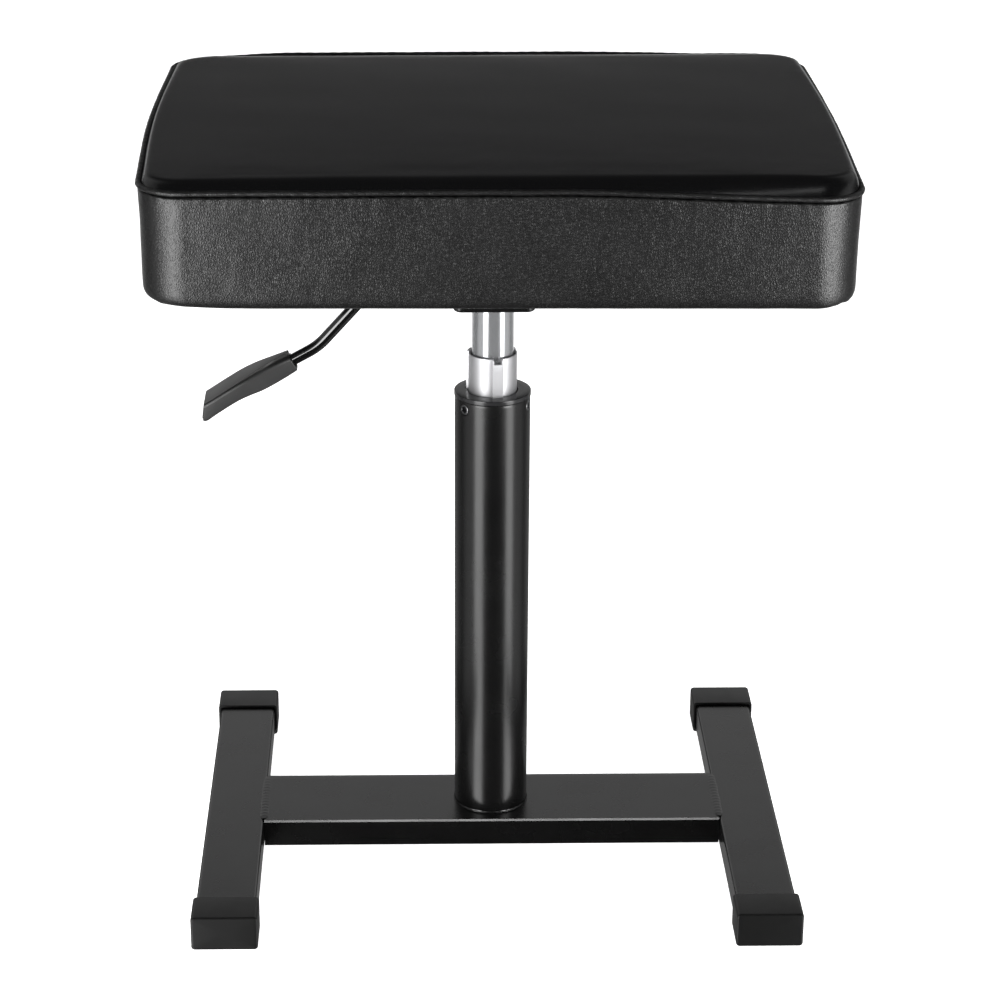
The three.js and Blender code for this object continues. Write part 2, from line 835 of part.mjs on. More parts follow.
// A tee nut with Z = 0 at the top of its flange.
function teeNut() {
  const bore = boltDiameter / 2 + runningGap;
  const barrel = teeNutBarrelDiameter / 2;
  return turned(
    [
      [bore, -teeNutLength],
      [barrel, -teeNutLength],
      [barrel, -teeNutFlangeThickness],
      [teeNutFlangeDiameter / 2, -teeNutFlangeThickness],
      [teeNutFlangeDiameter / 2, 0],
      [bore, 0],
      [bore, -teeNutLength],
    ],
    smallFacets,
  );
}

function pivotPin() {
  const length = housingDepth + 2 * pivotHeadThickness;
  return turned(
    [
      [0, -pivotHeadThickness - fitGap],
      [pivotHeadDiameter / 2, -pivotHeadThickness - fitGap],
      [pivotHeadDiameter / 2, -fitGap],
      [pivotDiameter / 2, -fitGap],
      [pivotDiameter / 2, length],
      [0, length],
    ],
    smallFacets,
  ).rotate([-90, 0, 0]);
}

function mechanismParts() {
  const group = new THREE.Group();
  group.add(named("release_housing", releaseHousing(), blackPaint, 0, 0, housingBottom));
  group.add(named("taper_socket", taperSocket(), plainSteel, 0, 0, housingBottom + housingWall + fitGap));
  group.add(named("seat_plate", seatPlate(), blackPaint, 0, 0, plateBottom));
  group.add(named("lever_pivot_pin", pivotPin(), zincSteel, -pivotOffset, -housingDepth / 2, pivotZ));
  boltPlaces().forEach(([x, y], index) => {
    group.add(named("seat_bolt_" + (index + 1), seatBolt(), zincSteel, x, y, plateBottom - fitGap));
    group.add(named("tee_nut_" + (index + 1), teeNut(), zincSteel, x, y, boardTop));
  });
  return group;
}

// The bent rod's centre line, from its inner end to its outer end, in the plane Y = 0.
function leverRoute() {
  const along = (start, slope, distance) =>
    new THREE.Vector3(
      start.x - distance * Math.cos(slope * degrees),
      0,
      start.z - distance * Math.sin(slope * degrees),
    );
  const start = new THREE.Vector3(-leverRodInset, 0, leverRodZ);
  const firstBend = along(start, 0, leverRunOut);
  const secondBend = along(firstBend, firstSlope, leverSecondLeg);
  const paddleEnd = along(secondBend, secondSlope, leverThirdLeg);
  const end = along(paddleEnd, secondSlope, leverGripDepth);
  const firstTangent = firstBendRadius * Math.tan((firstSlope * degrees) / 2);
  const secondTangent = secondBendRadius * Math.tan(((firstSlope - secondSlope) * degrees) / 2);
  const route = new THREE.CurvePath();
  const firstIn = along(firstBend, 0, -firstTangent);
  const firstOut = along(firstBend, firstSlope, firstTangent);
  const secondIn = along(secondBend, firstSlope, -secondTangent);
  const secondOut = along(secondBend, secondSlope, secondTangent);
  route.add(new THREE.LineCurve3(start, firstIn));
  route.add(new THREE.QuadraticBezierCurve3(firstIn, firstBend, firstOut));
  route.add(new THREE.LineCurve3(firstOut, secondIn));
  route.add(new THREE.QuadraticBezierCurve3(secondIn, secondBend, secondOut));
  route.add(new THREE.LineCurve3(secondOut, end));
  return { route, paddleEnd };
}

// A round rod along the route, thicker by the gap when it serves as a cutter.
function rodAlong(route, gap) {
  const section = new THREE.Shape();
  section.absarc(0, 0, leverRodDiameter / 2 + gap, 0, 2 * Math.PI, false);
  return solid(
    new THREE.ExtrudeGeometry(section, {
      steps: leverRodSteps,
      curveSegments: leverRodSides / 2,
      extrudePath: route,
    }),
  );
}

// The rocker that carries the rod and presses the valve pin. Its own frame is at the pivot.
function leverRocker(route) {
  const length = rockerLeftReach + rockerRightReach;
  const noseZ = cylinderTop + valvePinRise + noseGap;
  const height = rockerTopReach + pivotZ - noseZ;
  const body = block(length, rockerWidth, height).translate([
    (rockerRightReach - rockerLeftReach) / 2 - pivotOffset,
    0,
    noseZ,
  ]);
  const pivotBore = bar(pivotDiameter / 2 + runningGap, rockerWidth + 2 * cutOverrun)
    .rotate([90, 0, 0])
    .translate([-pivotOffset, rockerWidth / 2 + cutOverrun, pivotZ]);
  const innerEnd = new THREE.Vector3(-leverRodInset + fitGap, 0, leverRodZ);
  const endClearance = bar(leverRodDiameter / 2 + runningGap, leverRodDiameter, leverRodSides)
    .rotate([0, -90, 0])
    .translate([innerEnd.x, 0, innerEnd.z]);
  return body.subtract(pivotBore).subtract(rodAlong(route, runningGap)).subtract(endClearance);
}

// The paddle along -X from its inner end, before it is turned to the rod's slope. Each row of shares
// gives the place along the paddle, its width, its thickness and how far its middle lies low.
function leverPaddle() {
  const sectionShares = [
    [0, 0.36, 0.84, 0],
    [0.02, 0.42, 0.96, 0],
    [0.14, 0.46, 1, 0],
    [0.3, 0.58, 1, 0],
    [0.42, 0.76, 0.94, -0.02],
    [0.54, 0.95, 0.8, -0.06],
    [0.66, 1, 0.78, -0.06],
    [0.82, 1, 0.84, 0.02],
    [0.96, 0.97, 0.88, 0.14],
    [1, 0.88, 0.74, 0.17],
  ];
  const rings = sectionShares.map(([place, widthShare, thicknessShare, lowShare]) => {
    const halfWidth = (paddleWidth * widthShare) / 2;
    const halfThickness = (paddleThickness * thicknessShare) / 2;
    return roundedOutline(halfWidth, halfThickness, halfThickness / 2).map(
      (point) =>
        new THREE.Vector3(-paddleLength * place, point.x, point.y - paddleThickness * lowShare),
    );
  });
  return solid(loft(rings));
}

function leverParts() {
  const group = new THREE.Group();
  const { route, paddleEnd } = leverRoute();
  group.add(named("lever_rod", rodAlong(route, 0), blackPaint));
  group.add(named("lever_rocker", leverRocker(route), blackPlastic));
  const paddle = leverPaddle()
    .rotate([0, -secondSlope, 0])
    .translate([paddleEnd.x, paddleEnd.y, paddleEnd.z])
    .subtract(rodAlong(route, runningGap));
  group.add(named("lever_paddle", paddle, blackPlastic));
  return group;
}

// A ring of the seat's plan at a height. The sides are pulled in between the corners.
function seatRing(inset, z, scale = 1, pull = drawIn) {
  const halfX = seatWidth / 2 - inset;
  const halfY = seatDepth / 2 - inset;
  const radius = Math.max(seatCorner - inset, seatCorner * leastCornerShare);
  const outline = roundedOutline(halfX, halfY, radius);
  return refineSides(outline).map((point) => {
    const alongX = 1 - (point.x / halfX) ** 2;
    const alongY = 1 - (point.y / halfY) ** 2;
    const x = point.x - Math.sign(point.x) * pull * alongY ** 2;
    const y = point.y - Math.sign(point.y) * pull * alongX ** 2;
    return new THREE.Vector3(x * scale, y * scale, z);
  });
}

// Divides the straight sides of a rounded rectangle, so that they can curve.
function refineSides(outline) {
  const perCorner = cornerSteps + 1;
  return outline.flatMap((point, index) => {
    if (index % perCorner !== cornerSteps) return [point];
    const next = outline[(index + 1) % outline.length];
    return Array.from({ length: sideSteps }, (_, step) => point.clone().lerp(next, step / sideSteps));
  });
}

// The height of the crowned top at a share of the way out from its middle.
function crownZ(edgeZ, share) {
  return edgeZ + crownRise * (1 - share ** crownFlatness);
}

const crownShares = [0.97, 0.88, 0.74, 0.55, 0.3];

function coverTop() {
  const edgeZ = pipingTop - pipingDiameter / 2;
  const edgeInset = pipingDiameter + fitGap;
  const under = crownShares.map((share) => seatRing(edgeInset, crownZ(edgeZ, share) - coverThickness, share));
  const upper = crownShares.map((share) => seatRing(edgeInset, crownZ(edgeZ, share), share));
  const rim = [
    seatRing(edgeInset, edgeZ - coverThickness),
    seatRing(edgeInset, edgeZ),
  ];
  return solid(loft([...under.reverse(), ...rim, ...upper]));
}

function coverPiping() {
  const radius = pipingDiameter / 2;
  const rings = Array.from({ length: pipingSides }, (_, side) => {
    const angle = (2 * Math.PI * side) / pipingSides;
    return seatRing(radius * (1 - Math.cos(angle)), pipingTop - radius + radius * Math.sin(angle));
  });
  return solid(loft(rings, true));
}

// The side band as [inset, height] pairs down its outer face and under the board.
function bandProfile(offset) {
  const top = pipingTop - pipingDiameter - fitGap;
  const edgeShares = [
    [0, 1],
    [0.08, 0.62],
    [0.3, 0.3],
    [0.62, 0.08],
    [1, 0],
  ];
  const waistZ = (top + seatBottom) / 2;
  const foot = bandInset + bandTaper;
  const edge = bandEdge - offset;
  return [
    [bandInset + offset, top],
    [bandInset + bandTaper / 2 + offset, waistZ],
    ...edgeShares.map(([inward, up]) => [foot + offset + edge * inward, seatBottom + offset + edge * up]),
    [foot + coverTurnUnder, seatBottom + offset],
  ];
}

function coverBand() {
  const outside = bandProfile(0);
  const inside = bandProfile(coverThickness).reverse();
  return solid(loft([...outside, ...inside].map(([inset, z]) => seatRing(inset, z)), true));
}

// The board's plan lies inside the cover, and its lower edge is rounded with it.
function seatBoard() {
  const inset = bandInset + bandTaper + coverThickness + fitGap;
  const edge = bandEdge - coverThickness;
  const rings = [
    seatRing(inset + edge, 0),
    seatRing(inset + edge * edgeMiddleShare, edge * edgeMiddleShare),
    seatRing(inset, edge),
    seatRing(inset, boardThickness),
  ];
  const drilled = withBoltHoles(solid(loft(rings)), teeNutBarrelDiameter / 2 + fitGap, boardThickness);
  const recess = teeNutFlangeThickness + fitGap;
  const recessRadius = teeNutFlangeDiameter / 2 + fitGap;
  const recessFloor = boardThickness - recess;
  return boltPlaces().reduce(
    (rest, [x, y]) => rest.subtract(bar(recessRadius, recess + cutOverrun).translate([x, y, recessFloor])),
    drilled,
  );
}

function seatFoam() {
  const inset = bandInset + bandTaper + coverThickness + fitGap;
  const shoulderInset = pipingDiameter + coverThickness + 2 * fitGap;
  const shoulderZ = pipingTop - pipingDiameter / 2 - coverThickness - fitGap;
  const below = pipingTop - pipingDiameter - 2 * fitGap;
  const rings = [
    seatRing(inset, boardTop + fitGap),
    seatRing(inset, (boardTop + below) / 2),
    seatRing(inset, below - shoulderInset / 2),
    seatRing(shoulderInset, below),
    seatRing(shoulderInset, shoulderZ),
    ...crownShares.map((share) => seatRing(shoulderInset, crownZ(shoulderZ, share), share)),
  ];
  return solid(loft(rings));
}

function dustCover() {
  const width = seatWidth - 2 * dustCoverInset;
  const depth = seatDepth - 2 * dustCoverInset;
  const sheet = extruded(roundedShape(width, depth, seatCorner / 2), dustCoverThickness);
  return withBoltHoles(sheet, boltDiameter / 2 + fitGap, dustCoverThickness);
}

function seatParts() {
  const group = new THREE.Group();
  group.add(named("seat_board", seatBoard(), plywood, 0, 0, boardBottom));
  group.add(named("seat_foam", seatFoam(), foam));
  group.add(named("cover_top", coverTop(), topVinyl));
  group.add(named("cover_band", coverBand(), sideVinyl));
  group.add(named("cover_piping", coverPiping(), sideVinyl));
  group.add(named("dust_cover", dustCover(), dustCloth, 0, 0, dustCoverBottom));
  return group;
}

// The bench: the base stands still, and the gas spring, mechanism, lever and seat rise together.
const bench = new THREE.Group();
bench.add(baseFrame());
bench.add(columnParts());
const risingParts = new THREE.Group();
risingParts.add(gasSpringParts());
risingParts.add(named("valve_pin", valvePin(), zincSteel, 0, 0, cylinderTop + valvePinRise - valvePinLength));
risingParts.add(mechanismParts());
risingParts.add(leverParts());
risingParts.add(seatParts());
bench.add(risingParts);

export default bench;
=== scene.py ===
"""Fine surfaces, finishes and studio for an upholstered, height adjustable keyboard bench.

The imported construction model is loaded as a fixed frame. Each sub-assembly is a class that works its
surfaces out with numpy, in millimetres and in the frame's own axes: X along the bench, Y from front to
back, Z up. A surface is a grid of points, and a piece is one or more grids welded into a closed mesh.
"""

from __future__ import annotations

import json
import logging
import math
from dataclasses import dataclass, field
from enum import Enum
from typing import Callable, Sequence

import bmesh
import bpy
import numpy as np
from mathutils import Matrix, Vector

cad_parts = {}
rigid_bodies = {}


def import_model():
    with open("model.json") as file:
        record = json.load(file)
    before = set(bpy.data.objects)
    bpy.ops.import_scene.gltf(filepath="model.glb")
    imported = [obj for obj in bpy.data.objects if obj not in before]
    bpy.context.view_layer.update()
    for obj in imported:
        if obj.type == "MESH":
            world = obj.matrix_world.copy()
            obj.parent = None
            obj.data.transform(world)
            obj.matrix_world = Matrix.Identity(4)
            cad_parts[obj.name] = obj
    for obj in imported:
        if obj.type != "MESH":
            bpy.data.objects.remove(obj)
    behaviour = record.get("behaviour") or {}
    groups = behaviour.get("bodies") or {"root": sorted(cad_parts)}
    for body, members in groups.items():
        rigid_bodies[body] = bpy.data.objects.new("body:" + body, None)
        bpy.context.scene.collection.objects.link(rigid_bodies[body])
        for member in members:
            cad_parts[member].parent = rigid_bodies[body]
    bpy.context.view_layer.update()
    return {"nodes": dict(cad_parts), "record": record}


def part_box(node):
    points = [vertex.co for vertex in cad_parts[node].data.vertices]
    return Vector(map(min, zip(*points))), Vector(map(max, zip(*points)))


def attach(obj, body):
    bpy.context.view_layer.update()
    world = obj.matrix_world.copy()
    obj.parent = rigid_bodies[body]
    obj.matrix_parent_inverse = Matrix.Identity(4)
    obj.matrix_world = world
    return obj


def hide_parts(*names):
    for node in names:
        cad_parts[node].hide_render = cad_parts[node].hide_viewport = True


LOG = logging.getLogger("keyboard_bench")
MM = 0.001
WELD_MM = 1e-4
Array = np.ndarray
Inputs = dict[str | int, object]


class Body(Enum):
    """The moving bodies of the frame."""

    BASE = "base"
    SEAT = "seat"
    LEVER = "lever"


class Slot(Enum):
    """The record's material slots."""

    FRAME = "frame_paint"
    LEVER = "lever_paint"
    CAP = "cap_plastic"
    PADDLE = "paddle_plastic"
    COLLAR = "collar_plastic"
    SLEEVE = "sleeve_aluminium"
    CYLINDER = "cylinder_steel"
    ROD = "rod_chrome"
    STEEL = "plain_steel"
    ZINC = "zinc_steel"
    RUBBER = "rubber"
    PLYWOOD = "plywood"
    FOAM = "foam"
    TOP = "top_vinyl"
    SIDE = "side_vinyl"
    DUST = "dust_cloth"


# Finishes


def linear_colour(code: str) -> tuple[float, float, float, float]:
    """Turns an sRGB hex colour into Blender's linear values.

    Args:
        code: The colour as six hexadecimal digits.

    Returns:
        Red, green, blue and an alpha of one.
    """
    shares = np.array([int(code[place : place + 2], 16) for place in (0, 2, 4)]) / 255
    straight = np.where(shares <= 0.04045, shares / 12.92, ((shares + 0.055) / 1.055) ** 2.4)
    return (*straight.tolist(), 1.0)


def add_node(
    tree: bpy.types.NodeTree, kind: str, inputs: Inputs | None = None, **settings: object
) -> bpy.types.Node:
    """Adds a shader node with its settings, and sets or links its inputs.

    Args:
        tree: The node tree that gets the node.
        kind: The node's type name, after its leading "ShaderNode".
        inputs: Values, sockets or nodes by the input's name or place. A node gives its first output.
        settings: The node's own properties.

    Returns:
        The new node.
    """
    node = tree.nodes.new(f"ShaderNode{kind}")
    for name, value in settings.items():
        setattr(node, name, value)
    for key, value in (inputs or {}).items():
        if isinstance(value, bpy.types.Node):
            value = value.outputs[0]
        if isinstance(value, bpy.types.NodeSocket):
            tree.links.new(value, node.inputs[key])
        else:
            node.inputs[key].default_value = value
    return node


def ranged(value: object, source: tuple[float, float], target: tuple[float, float] = (0.0, 1.0)) -> Inputs:
    """Gives the inputs that carry a value from one range to another.

    Args:
        value: The node or socket that gives the value.
        source: The value's own range.
        target: The range that it is carried to.

    Returns:
        The inputs by name.
    """
    low, high = source
    first, last = target
    return {"Value": value, "From Min": low, "From Max": high, "To Min": first, "To Max": last}


def sized(place: object, size_mm: float) -> Inputs:
    """Gives a texture's place and the scale at which its features have the given size."""
    return {"Vector": place, "Scale": 1 / (size_mm * MM)}


def to_shader(tree: bpy.types.NodeTree, name: str, output: bpy.types.NodeSocket) -> None:
    """Links an output to the named input of the tree's shader."""
    tree.links.new(output, tree.nodes["Principled BSDF"].inputs[name])


@dataclass(frozen=True)
class Finish:
    """A material: its colour and gloss, and the relief that its making leaves on it.

    Attributes:
        name: The material's name.
        colour: Its sRGB colour.
        relief_mm: How deep its relief is.
        feature_mm: How large the relief's features are.
        mottle: How far the roughness goes up and down, over patches of mottle_mm.
        stretch: How much longer the features are along X, Y and Z.
    """

    name: str
    colour: str
    roughness: float
    metallic: float = 0.0
    ior: float = 1.5
    coat: float = 0.0
    relief_mm: float = 0.02
    feature_mm: float = 1.0
    mottle: float = 0.06
    mottle_mm: float = 30.0
    stretch: tuple[float, float, float] = (1.0, 1.0, 1.0)

    def material(self) -> bpy.types.Material:
        """Gives the Blender material of this finish, and builds it on the first call.

        Returns:
            The material.
        """
        found = bpy.data.materials.get(self.name)
        if found is not None:
            return found
        material = bpy.data.materials.new(self.name)
        material.use_nodes = True
        material.diffuse_color = linear_colour(self.colour)
        plain = {
            "Base Color": linear_colour(self.colour),
            "Roughness": self.roughness,
            "Metallic": self.metallic,
            "IOR": self.ior,
            "Coat Weight": self.coat,
        }
        for name, value in plain.items():
            material.node_tree.nodes["Principled BSDF"].inputs[name].default_value = value
        self.surface(material.node_tree)
        return material

    def surface(self, tree: bpy.types.NodeTree) -> None:
        """Gives the surface fine noise in relief and a varied gloss.

        Args:
            tree: The material's nodes.
        """
        place = self.coordinates(tree)
        self.relief(
            tree,
            add_node(tree, "TexNoise", sized(place, self.feature_mm) | {"Detail": 2.0, "Roughness": 0.5}),
        )
        self.gloss(tree)

    def coordinates(self, tree: bpy.types.NodeTree) -> bpy.types.Node:
        """Adds object coordinates, squeezed by the finish's stretch.

        Args:
            tree: The material's nodes.

        Returns:
            The mapping node.
        """
        source = add_node(tree, "TexCoord")
        scale = tuple(1 / share for share in self.stretch)
        return add_node(tree, "Mapping", {"Vector": source.outputs["Object"], "Scale": scale})

    def relief(self, tree: bpy.types.NodeTree, height: bpy.types.Node) -> None:
        """Turns a node's height of 0 to 1 into relief on the shader's normal."""
        bump = add_node(tree, "Bump", {"Height": height, "Distance": self.relief_mm * MM, "Strength": 1.0})
        to_shader(tree, "Normal", bump.outputs[0])

    def gloss(self, tree: bpy.types.NodeTree) -> None:
        """Varies the roughness slowly over the surface, as handling and uneven drying leave it.

        Args:
            tree: The material's nodes.
        """
        place = add_node(tree, "TexCoord").outputs["Object"]
        patches = add_node(tree, "TexNoise", sized(place, self.mottle_mm) | {"Detail": 3.0})
        ends = (max(self.roughness - self.mottle, 0.02), self.roughness + self.mottle)
        varied = add_node(tree, "MapRange", ranged(patches, (0.3, 0.7), ends))
        to_shader(tree, "Roughness", varied.outputs[0])

    def tint(self, tree: bpy.types.NodeTree, share: bpy.types.Node, other: str) -> None:
        """Mixes another colour into the finish's own.

        A colour mix has its colours as inputs 6 and 7, and its result as output 2.

        Args:
            tree: The material's nodes.
            share: The node that gives the other colour's share.
            other: The other colour.
        """
        inputs = {"Factor": share, 6: linear_colour(self.colour), 7: linear_colour(other)}
        mixed = add_node(tree, "Mix", inputs, data_type="RGBA")
        to_shader(tree, "Base Color", mixed.outputs[2])


@dataclass(frozen=True)
class GrainedCloth(Finish):
    """PVC coated cloth, embossed with a leather grain, with painted shade in its creases."""

    # The crease colour and its share paint shade into the creases between the pebbles.
    crease_shade_colour: str = "161616"
    crease_shade_share: float = 0.5
    warp: float = 0.35

    def surface(self, tree: bpy.types.NodeTree) -> None:
        """Embosses pebbles of feature_mm: cell distances whose edges are creases, bent by noise, with painted
        shade in the creases.

        Args:
            tree: The material's nodes.
        """
        size = self.feature_mm
        place = self.coordinates(tree)
        bend = add_node(tree, "TexNoise", sized(place, size * 2.5) | {"Detail": 2.0})
        centred = add_node(
            tree, "VectorMath", {0: bend.outputs["Color"], 1: (0.5, 0.5, 0.5)}, operation="SUBTRACT"
        )
        reach = size * MM * self.warp * 4
        shift = add_node(tree, "VectorMath", {0: centred, "Scale": reach}, operation="SCALE")
        bent = add_node(tree, "VectorMath", {0: place, 1: shift}, operation="ADD")
        cells = add_node(
            tree, "TexVoronoi", sized(bent, size) | {"Randomness": 1.0}, feature="DISTANCE_TO_EDGE"
        )
        pebble = add_node(tree, "MapRange", ranged(cells, (0.0, 0.45)))
        fine = add_node(tree, "TexNoise", sized(bent, size * 0.8) | {"Detail": 3.0, "Roughness": 0.6})
        self.relief(tree, add_node(tree, "Math", {0: fine, 1: 0.15, 2: pebble}, operation="MULTIPLY_ADD"))
        # Painted shade: the creases are darkened towards the crease colour, standing in for the shade that
        # falls in them.
        crease_shade = add_node(tree, "MapRange", ranged(pebble, (0.0, 1.0), (self.crease_shade_share, 0.0)))
        self.tint(tree, crease_shade, self.crease_shade_colour)
        self.gloss(tree)


@dataclass(frozen=True)
class LinedMetal(Finish):
    """Drawn, ground or turned metal, whose tool left fine lines in one direction."""

    line_colour: str = "808080"
    line_share: float = 0.15

    def surface(self, tree: bpy.types.NodeTree) -> None:
        """Scores lines of feature_mm: noise drawn out along the stretch, in relief and in tone.

        Args:
            tree: The material's nodes.
        """
        place = self.coordinates(tree)
        lines = add_node(tree, "TexNoise", sized(place, self.feature_mm) | {"Detail": 4.0, "Roughness": 0.6})
        self.relief(tree, lines)
        share = add_node(tree, "MapRange", ranged(lines, (0.35, 0.7), (0.0, self.line_share)))
        self.tint(tree, share, self.line_colour)
        self.gloss(tree)


@dataclass(frozen=True)
class Veneer(Finish):
    """Birch plywood, with the edges of its veneers showing."""

    veneer_mm: float = 1.5
    dark_colour: str = "8A6B45"

    def surface(self, tree: bpy.types.NodeTree) -> None:
        """Bands the board by height, one band a veneer, and streaks each along the grain.

        The wave texture has 20 radians in a feature's size, so a band is a full turn of them.

        Args:
            tree: The material's nodes.
        """
        place = self.coordinates(tree)
        grain = add_node(tree, "TexNoise", sized(place, self.feature_mm) | {"Detail": 4.0})
        span = self.veneer_mm * 20 / (2 * math.pi)
        bands = add_node(tree, "TexWave", sized(place, span) | {"Distortion": 0.4}, bands_direction="Z")
        mixed = add_node(tree, "Math", {0: bands.outputs["Fac"], 1: grain}, operation="MULTIPLY")
        self.tint(tree, mixed, self.dark_colour)
        self.relief(tree, grain)


@dataclass(frozen=True)
class BondedCloth(Finish):
    """Spun-bonded cloth: loose fibres that small heated points hold together."""

    point_mm: float = 1.6

    def surface(self, tree: bpy.types.NodeTree) -> None:
        """Lays fibres as stretched noise and presses a field of points into it.

        Args:
            tree: The material's nodes.
        """
        place = self.coordinates(tree)
        strands = sized(place, self.feature_mm) | {"Detail": 5.0, "Distortion": 1.5}
        fibres = add_node(tree, "TexNoise", strands)
        points = add_node(tree, "TexVoronoi", sized(place, self.point_mm) | {"Randomness": 0.15})
        self.relief(tree, add_node(tree, "Math", {0: points, 1: 0.8, 2: fibres}, operation="MULTIPLY_ADD"))
        self.gloss(tree)


FINISHES: dict[Slot, Finish] = {
    # Polyester powder, baked on: black and satin, with a faint orange peel in its reflections.
    Slot.FRAME: Finish(
        "Powder_coat_satin_black", "070707", 0.26, relief_mm=0.012, feature_mm=2.2, mottle=0.03
    ),
    # Alkyd enamel, dipped: wet looking, so that the thin rod carries one sharp light line.
    Slot.LEVER: Finish(
        "Enamel_gloss_black", "080808", 0.07, relief_mm=0.004, feature_mm=3.0, mottle=0.02, coat=0.5
    ),
    # Polyethylene, injection moulded against a spark-eroded tool: dull, with soft broad highlights.
    Slot.CAP: Finish(
        "Polyethylene_moulded_black", "0A0A0A", 0.48, relief_mm=0.012, feature_mm=0.6, mottle=0.05
    ),
    # Glass-filled nylon with a fine moulded texture: dark grey, lighter where light rakes over it.
    Slot.PADDLE: Finish("Nylon_textured_black", "1F1F1F", 0.44, feature_mm=0.7, mottle=0.05),
    # Acetal, moulded and faced on a lathe: slippery and half glossy, so that it mirrors what stands on it.
    Slot.COLLAR: Finish(
        "Acetal_turned_black", "1C1C1D", 0.2, relief_mm=0.004, feature_mm=0.8, mottle=0.04
    ),
    # Aluminium, extruded and bright anodised: pale, with die lines along it that spread highlights.
    Slot.SLEEVE: LinedMetal(
        "Aluminium_extruded_anodised", "BABABC", 0.46, metallic=0.85, relief_mm=0.01, feature_mm=0.35,
        stretch=(1.0, 1.0, 60.0), line_colour="C4C4C6", mottle=0.03,
    ),
    # Steel tube, centreless ground and lacquered: a darker mirror with two hard light bands.
    Slot.CYLINDER: LinedMetal(
        "Steel_ground_lacquered", "ACADAF", 0.14, metallic=0.78, relief_mm=0.0015, feature_mm=0.4,
        stretch=(40.0, 40.0, 1.0), line_colour="8E8F92", mottle=0.02,
    ),
    # Steel, hard chromed and polished: the brightest and smoothest metal of the bench.
    Slot.ROD: LinedMetal(
        "Steel_hard_chromed", "D0D1D4", 0.08, metallic=1.0, relief_mm=0.0008, feature_mm=0.3, mottle=0.02
    ),
    # Steel, turned and left bare: grey, with tool marks round it.
    Slot.STEEL: LinedMetal(
        "Steel_turned", "8F8F90", 0.35, metallic=1.0, relief_mm=0.006, feature_mm=0.3,
        stretch=(30.0, 30.0, 1.0),
    ),
    # Steel, zinc plated and passivated: bright, slightly warm and cloudy.
    Slot.ZINC: Finish(
        "Steel_zinc_plated", "C9C6BC", 0.3, metallic=1.0, relief_mm=0.008, feature_mm=0.7, mottle=0.1,
        mottle_mm=6.0,
    ),
    # Nitrile rubber, moulded: deep black without gloss.
    Slot.RUBBER: Finish("Rubber_nitrile", "101010", 0.8, relief_mm=0.03, feature_mm=0.5),
    # Birch plywood, sawn and unfinished: pale tan with darker veneer edges.
    Slot.PLYWOOD: Veneer(
        "Plywood_birch", "C9A876", 0.7, relief_mm=0.05, feature_mm=2.0, stretch=(20.0, 1.0, 1.0)
    ),
    # Polyurethane foam, cut from a block: open cells. It is hidden inside the cover.
    Slot.FOAM: Finish("Polyurethane_foam", "E2DAC0", 0.9, relief_mm=0.4, feature_mm=0.8),
    # PVC coated cloth with a nearly smooth face: black, with a soft satin sheen, and a little painted shade
    # in its fine creases.
    Slot.TOP: GrainedCloth(
        "Vinyl_smooth_black", "101011", 0.24, relief_mm=0.004, feature_mm=0.9, mottle=0.01, ior=1.45,
        crease_shade_colour="0E0E0E", crease_shade_share=0.2,
    ),
    # PVC coated cloth embossed with pebbles, drawn a little upright: each catches a glint of its own, and the
    # creases between them carry painted shade.
    Slot.SIDE: GrainedCloth(
        "Vinyl_pebbled_black", "161616", 0.365, relief_mm=0.11, feature_mm=1.45, mottle=0.02,
        stretch=(0.9, 0.9, 1.2), crease_shade_colour="050505", crease_shade_share=1.0,
    ),
    # Polypropylene fibres bonded into cloth: matt black with a fuzzy, dotted face.
    Slot.DUST: BondedCloth("Polypropylene_spun_bonded", "141414", 0.85, relief_mm=0.12, feature_mm=0.5),
}
# Galvanised steel wire, as staples are: dull bright.
STAPLE_WIRE = Finish(
    "Steel_wire_galvanised", "B4B4B2", 0.35, metallic=1.0, relief_mm=0.004, feature_mm=0.4
)
# Steel, hardened and oiled: dark where it faces the room, with a hard white glint where it meets a light.
SCREW_STEEL = Finish(
    "Steel_hardened_oiled", "8A8A8C", 0.16, metallic=1.0, relief_mm=0.004, feature_mm=0.4, mottle=0.03
)


# Surfaces


@dataclass(frozen=True)
class Extent:
    """The box of one construction node, in millimetres."""

    low: Array
    high: Array

    @classmethod
    def of(cls, node: str) -> Extent:
        """Reads a node's box from the frame."""
        low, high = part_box(node)
        return cls(np.array(low) / MM, np.array(high) / MM)

    @property
    def centre(self) -> Array:
        """The middle of the box."""
        return (self.low + self.high) / 2

    @property
    def size(self) -> Array:
        """The box's lengths along X, Y and Z."""
        return self.high - self.low


@dataclass
class Patch:
    """A grid of points that becomes quads: rows by columns by X, Y and Z.

    Attributes:
        points: The grid, in millimetres.
        around: Whether the last column joins the first.
        closed: Whether the last row joins the first.
        keep: Which quads are made, by their lower row and column, or None for all.
    """

    points: Array
    around: bool = True
    closed: bool = False
    keep: Array | None = None

    def quads(self) -> Array:
        """Gives the quads as rows of four point numbers within the grid."""
        rows, columns = self.points.shape[:2]
        numbers = np.arange(rows * columns).reshape(rows, columns)
        if self.around:
            numbers = np.concatenate([numbers, numbers[:, :1]], axis=1)
        if self.closed:
            numbers = np.concatenate([numbers, numbers[:1]], axis=0)
        grid = np.stack([numbers[:-1, :-1], numbers[:-1, 1:], numbers[1:, 1:], numbers[1:, :-1]], axis=-1)
        return grid.reshape(-1, 4) if self.keep is None else grid[self.keep]


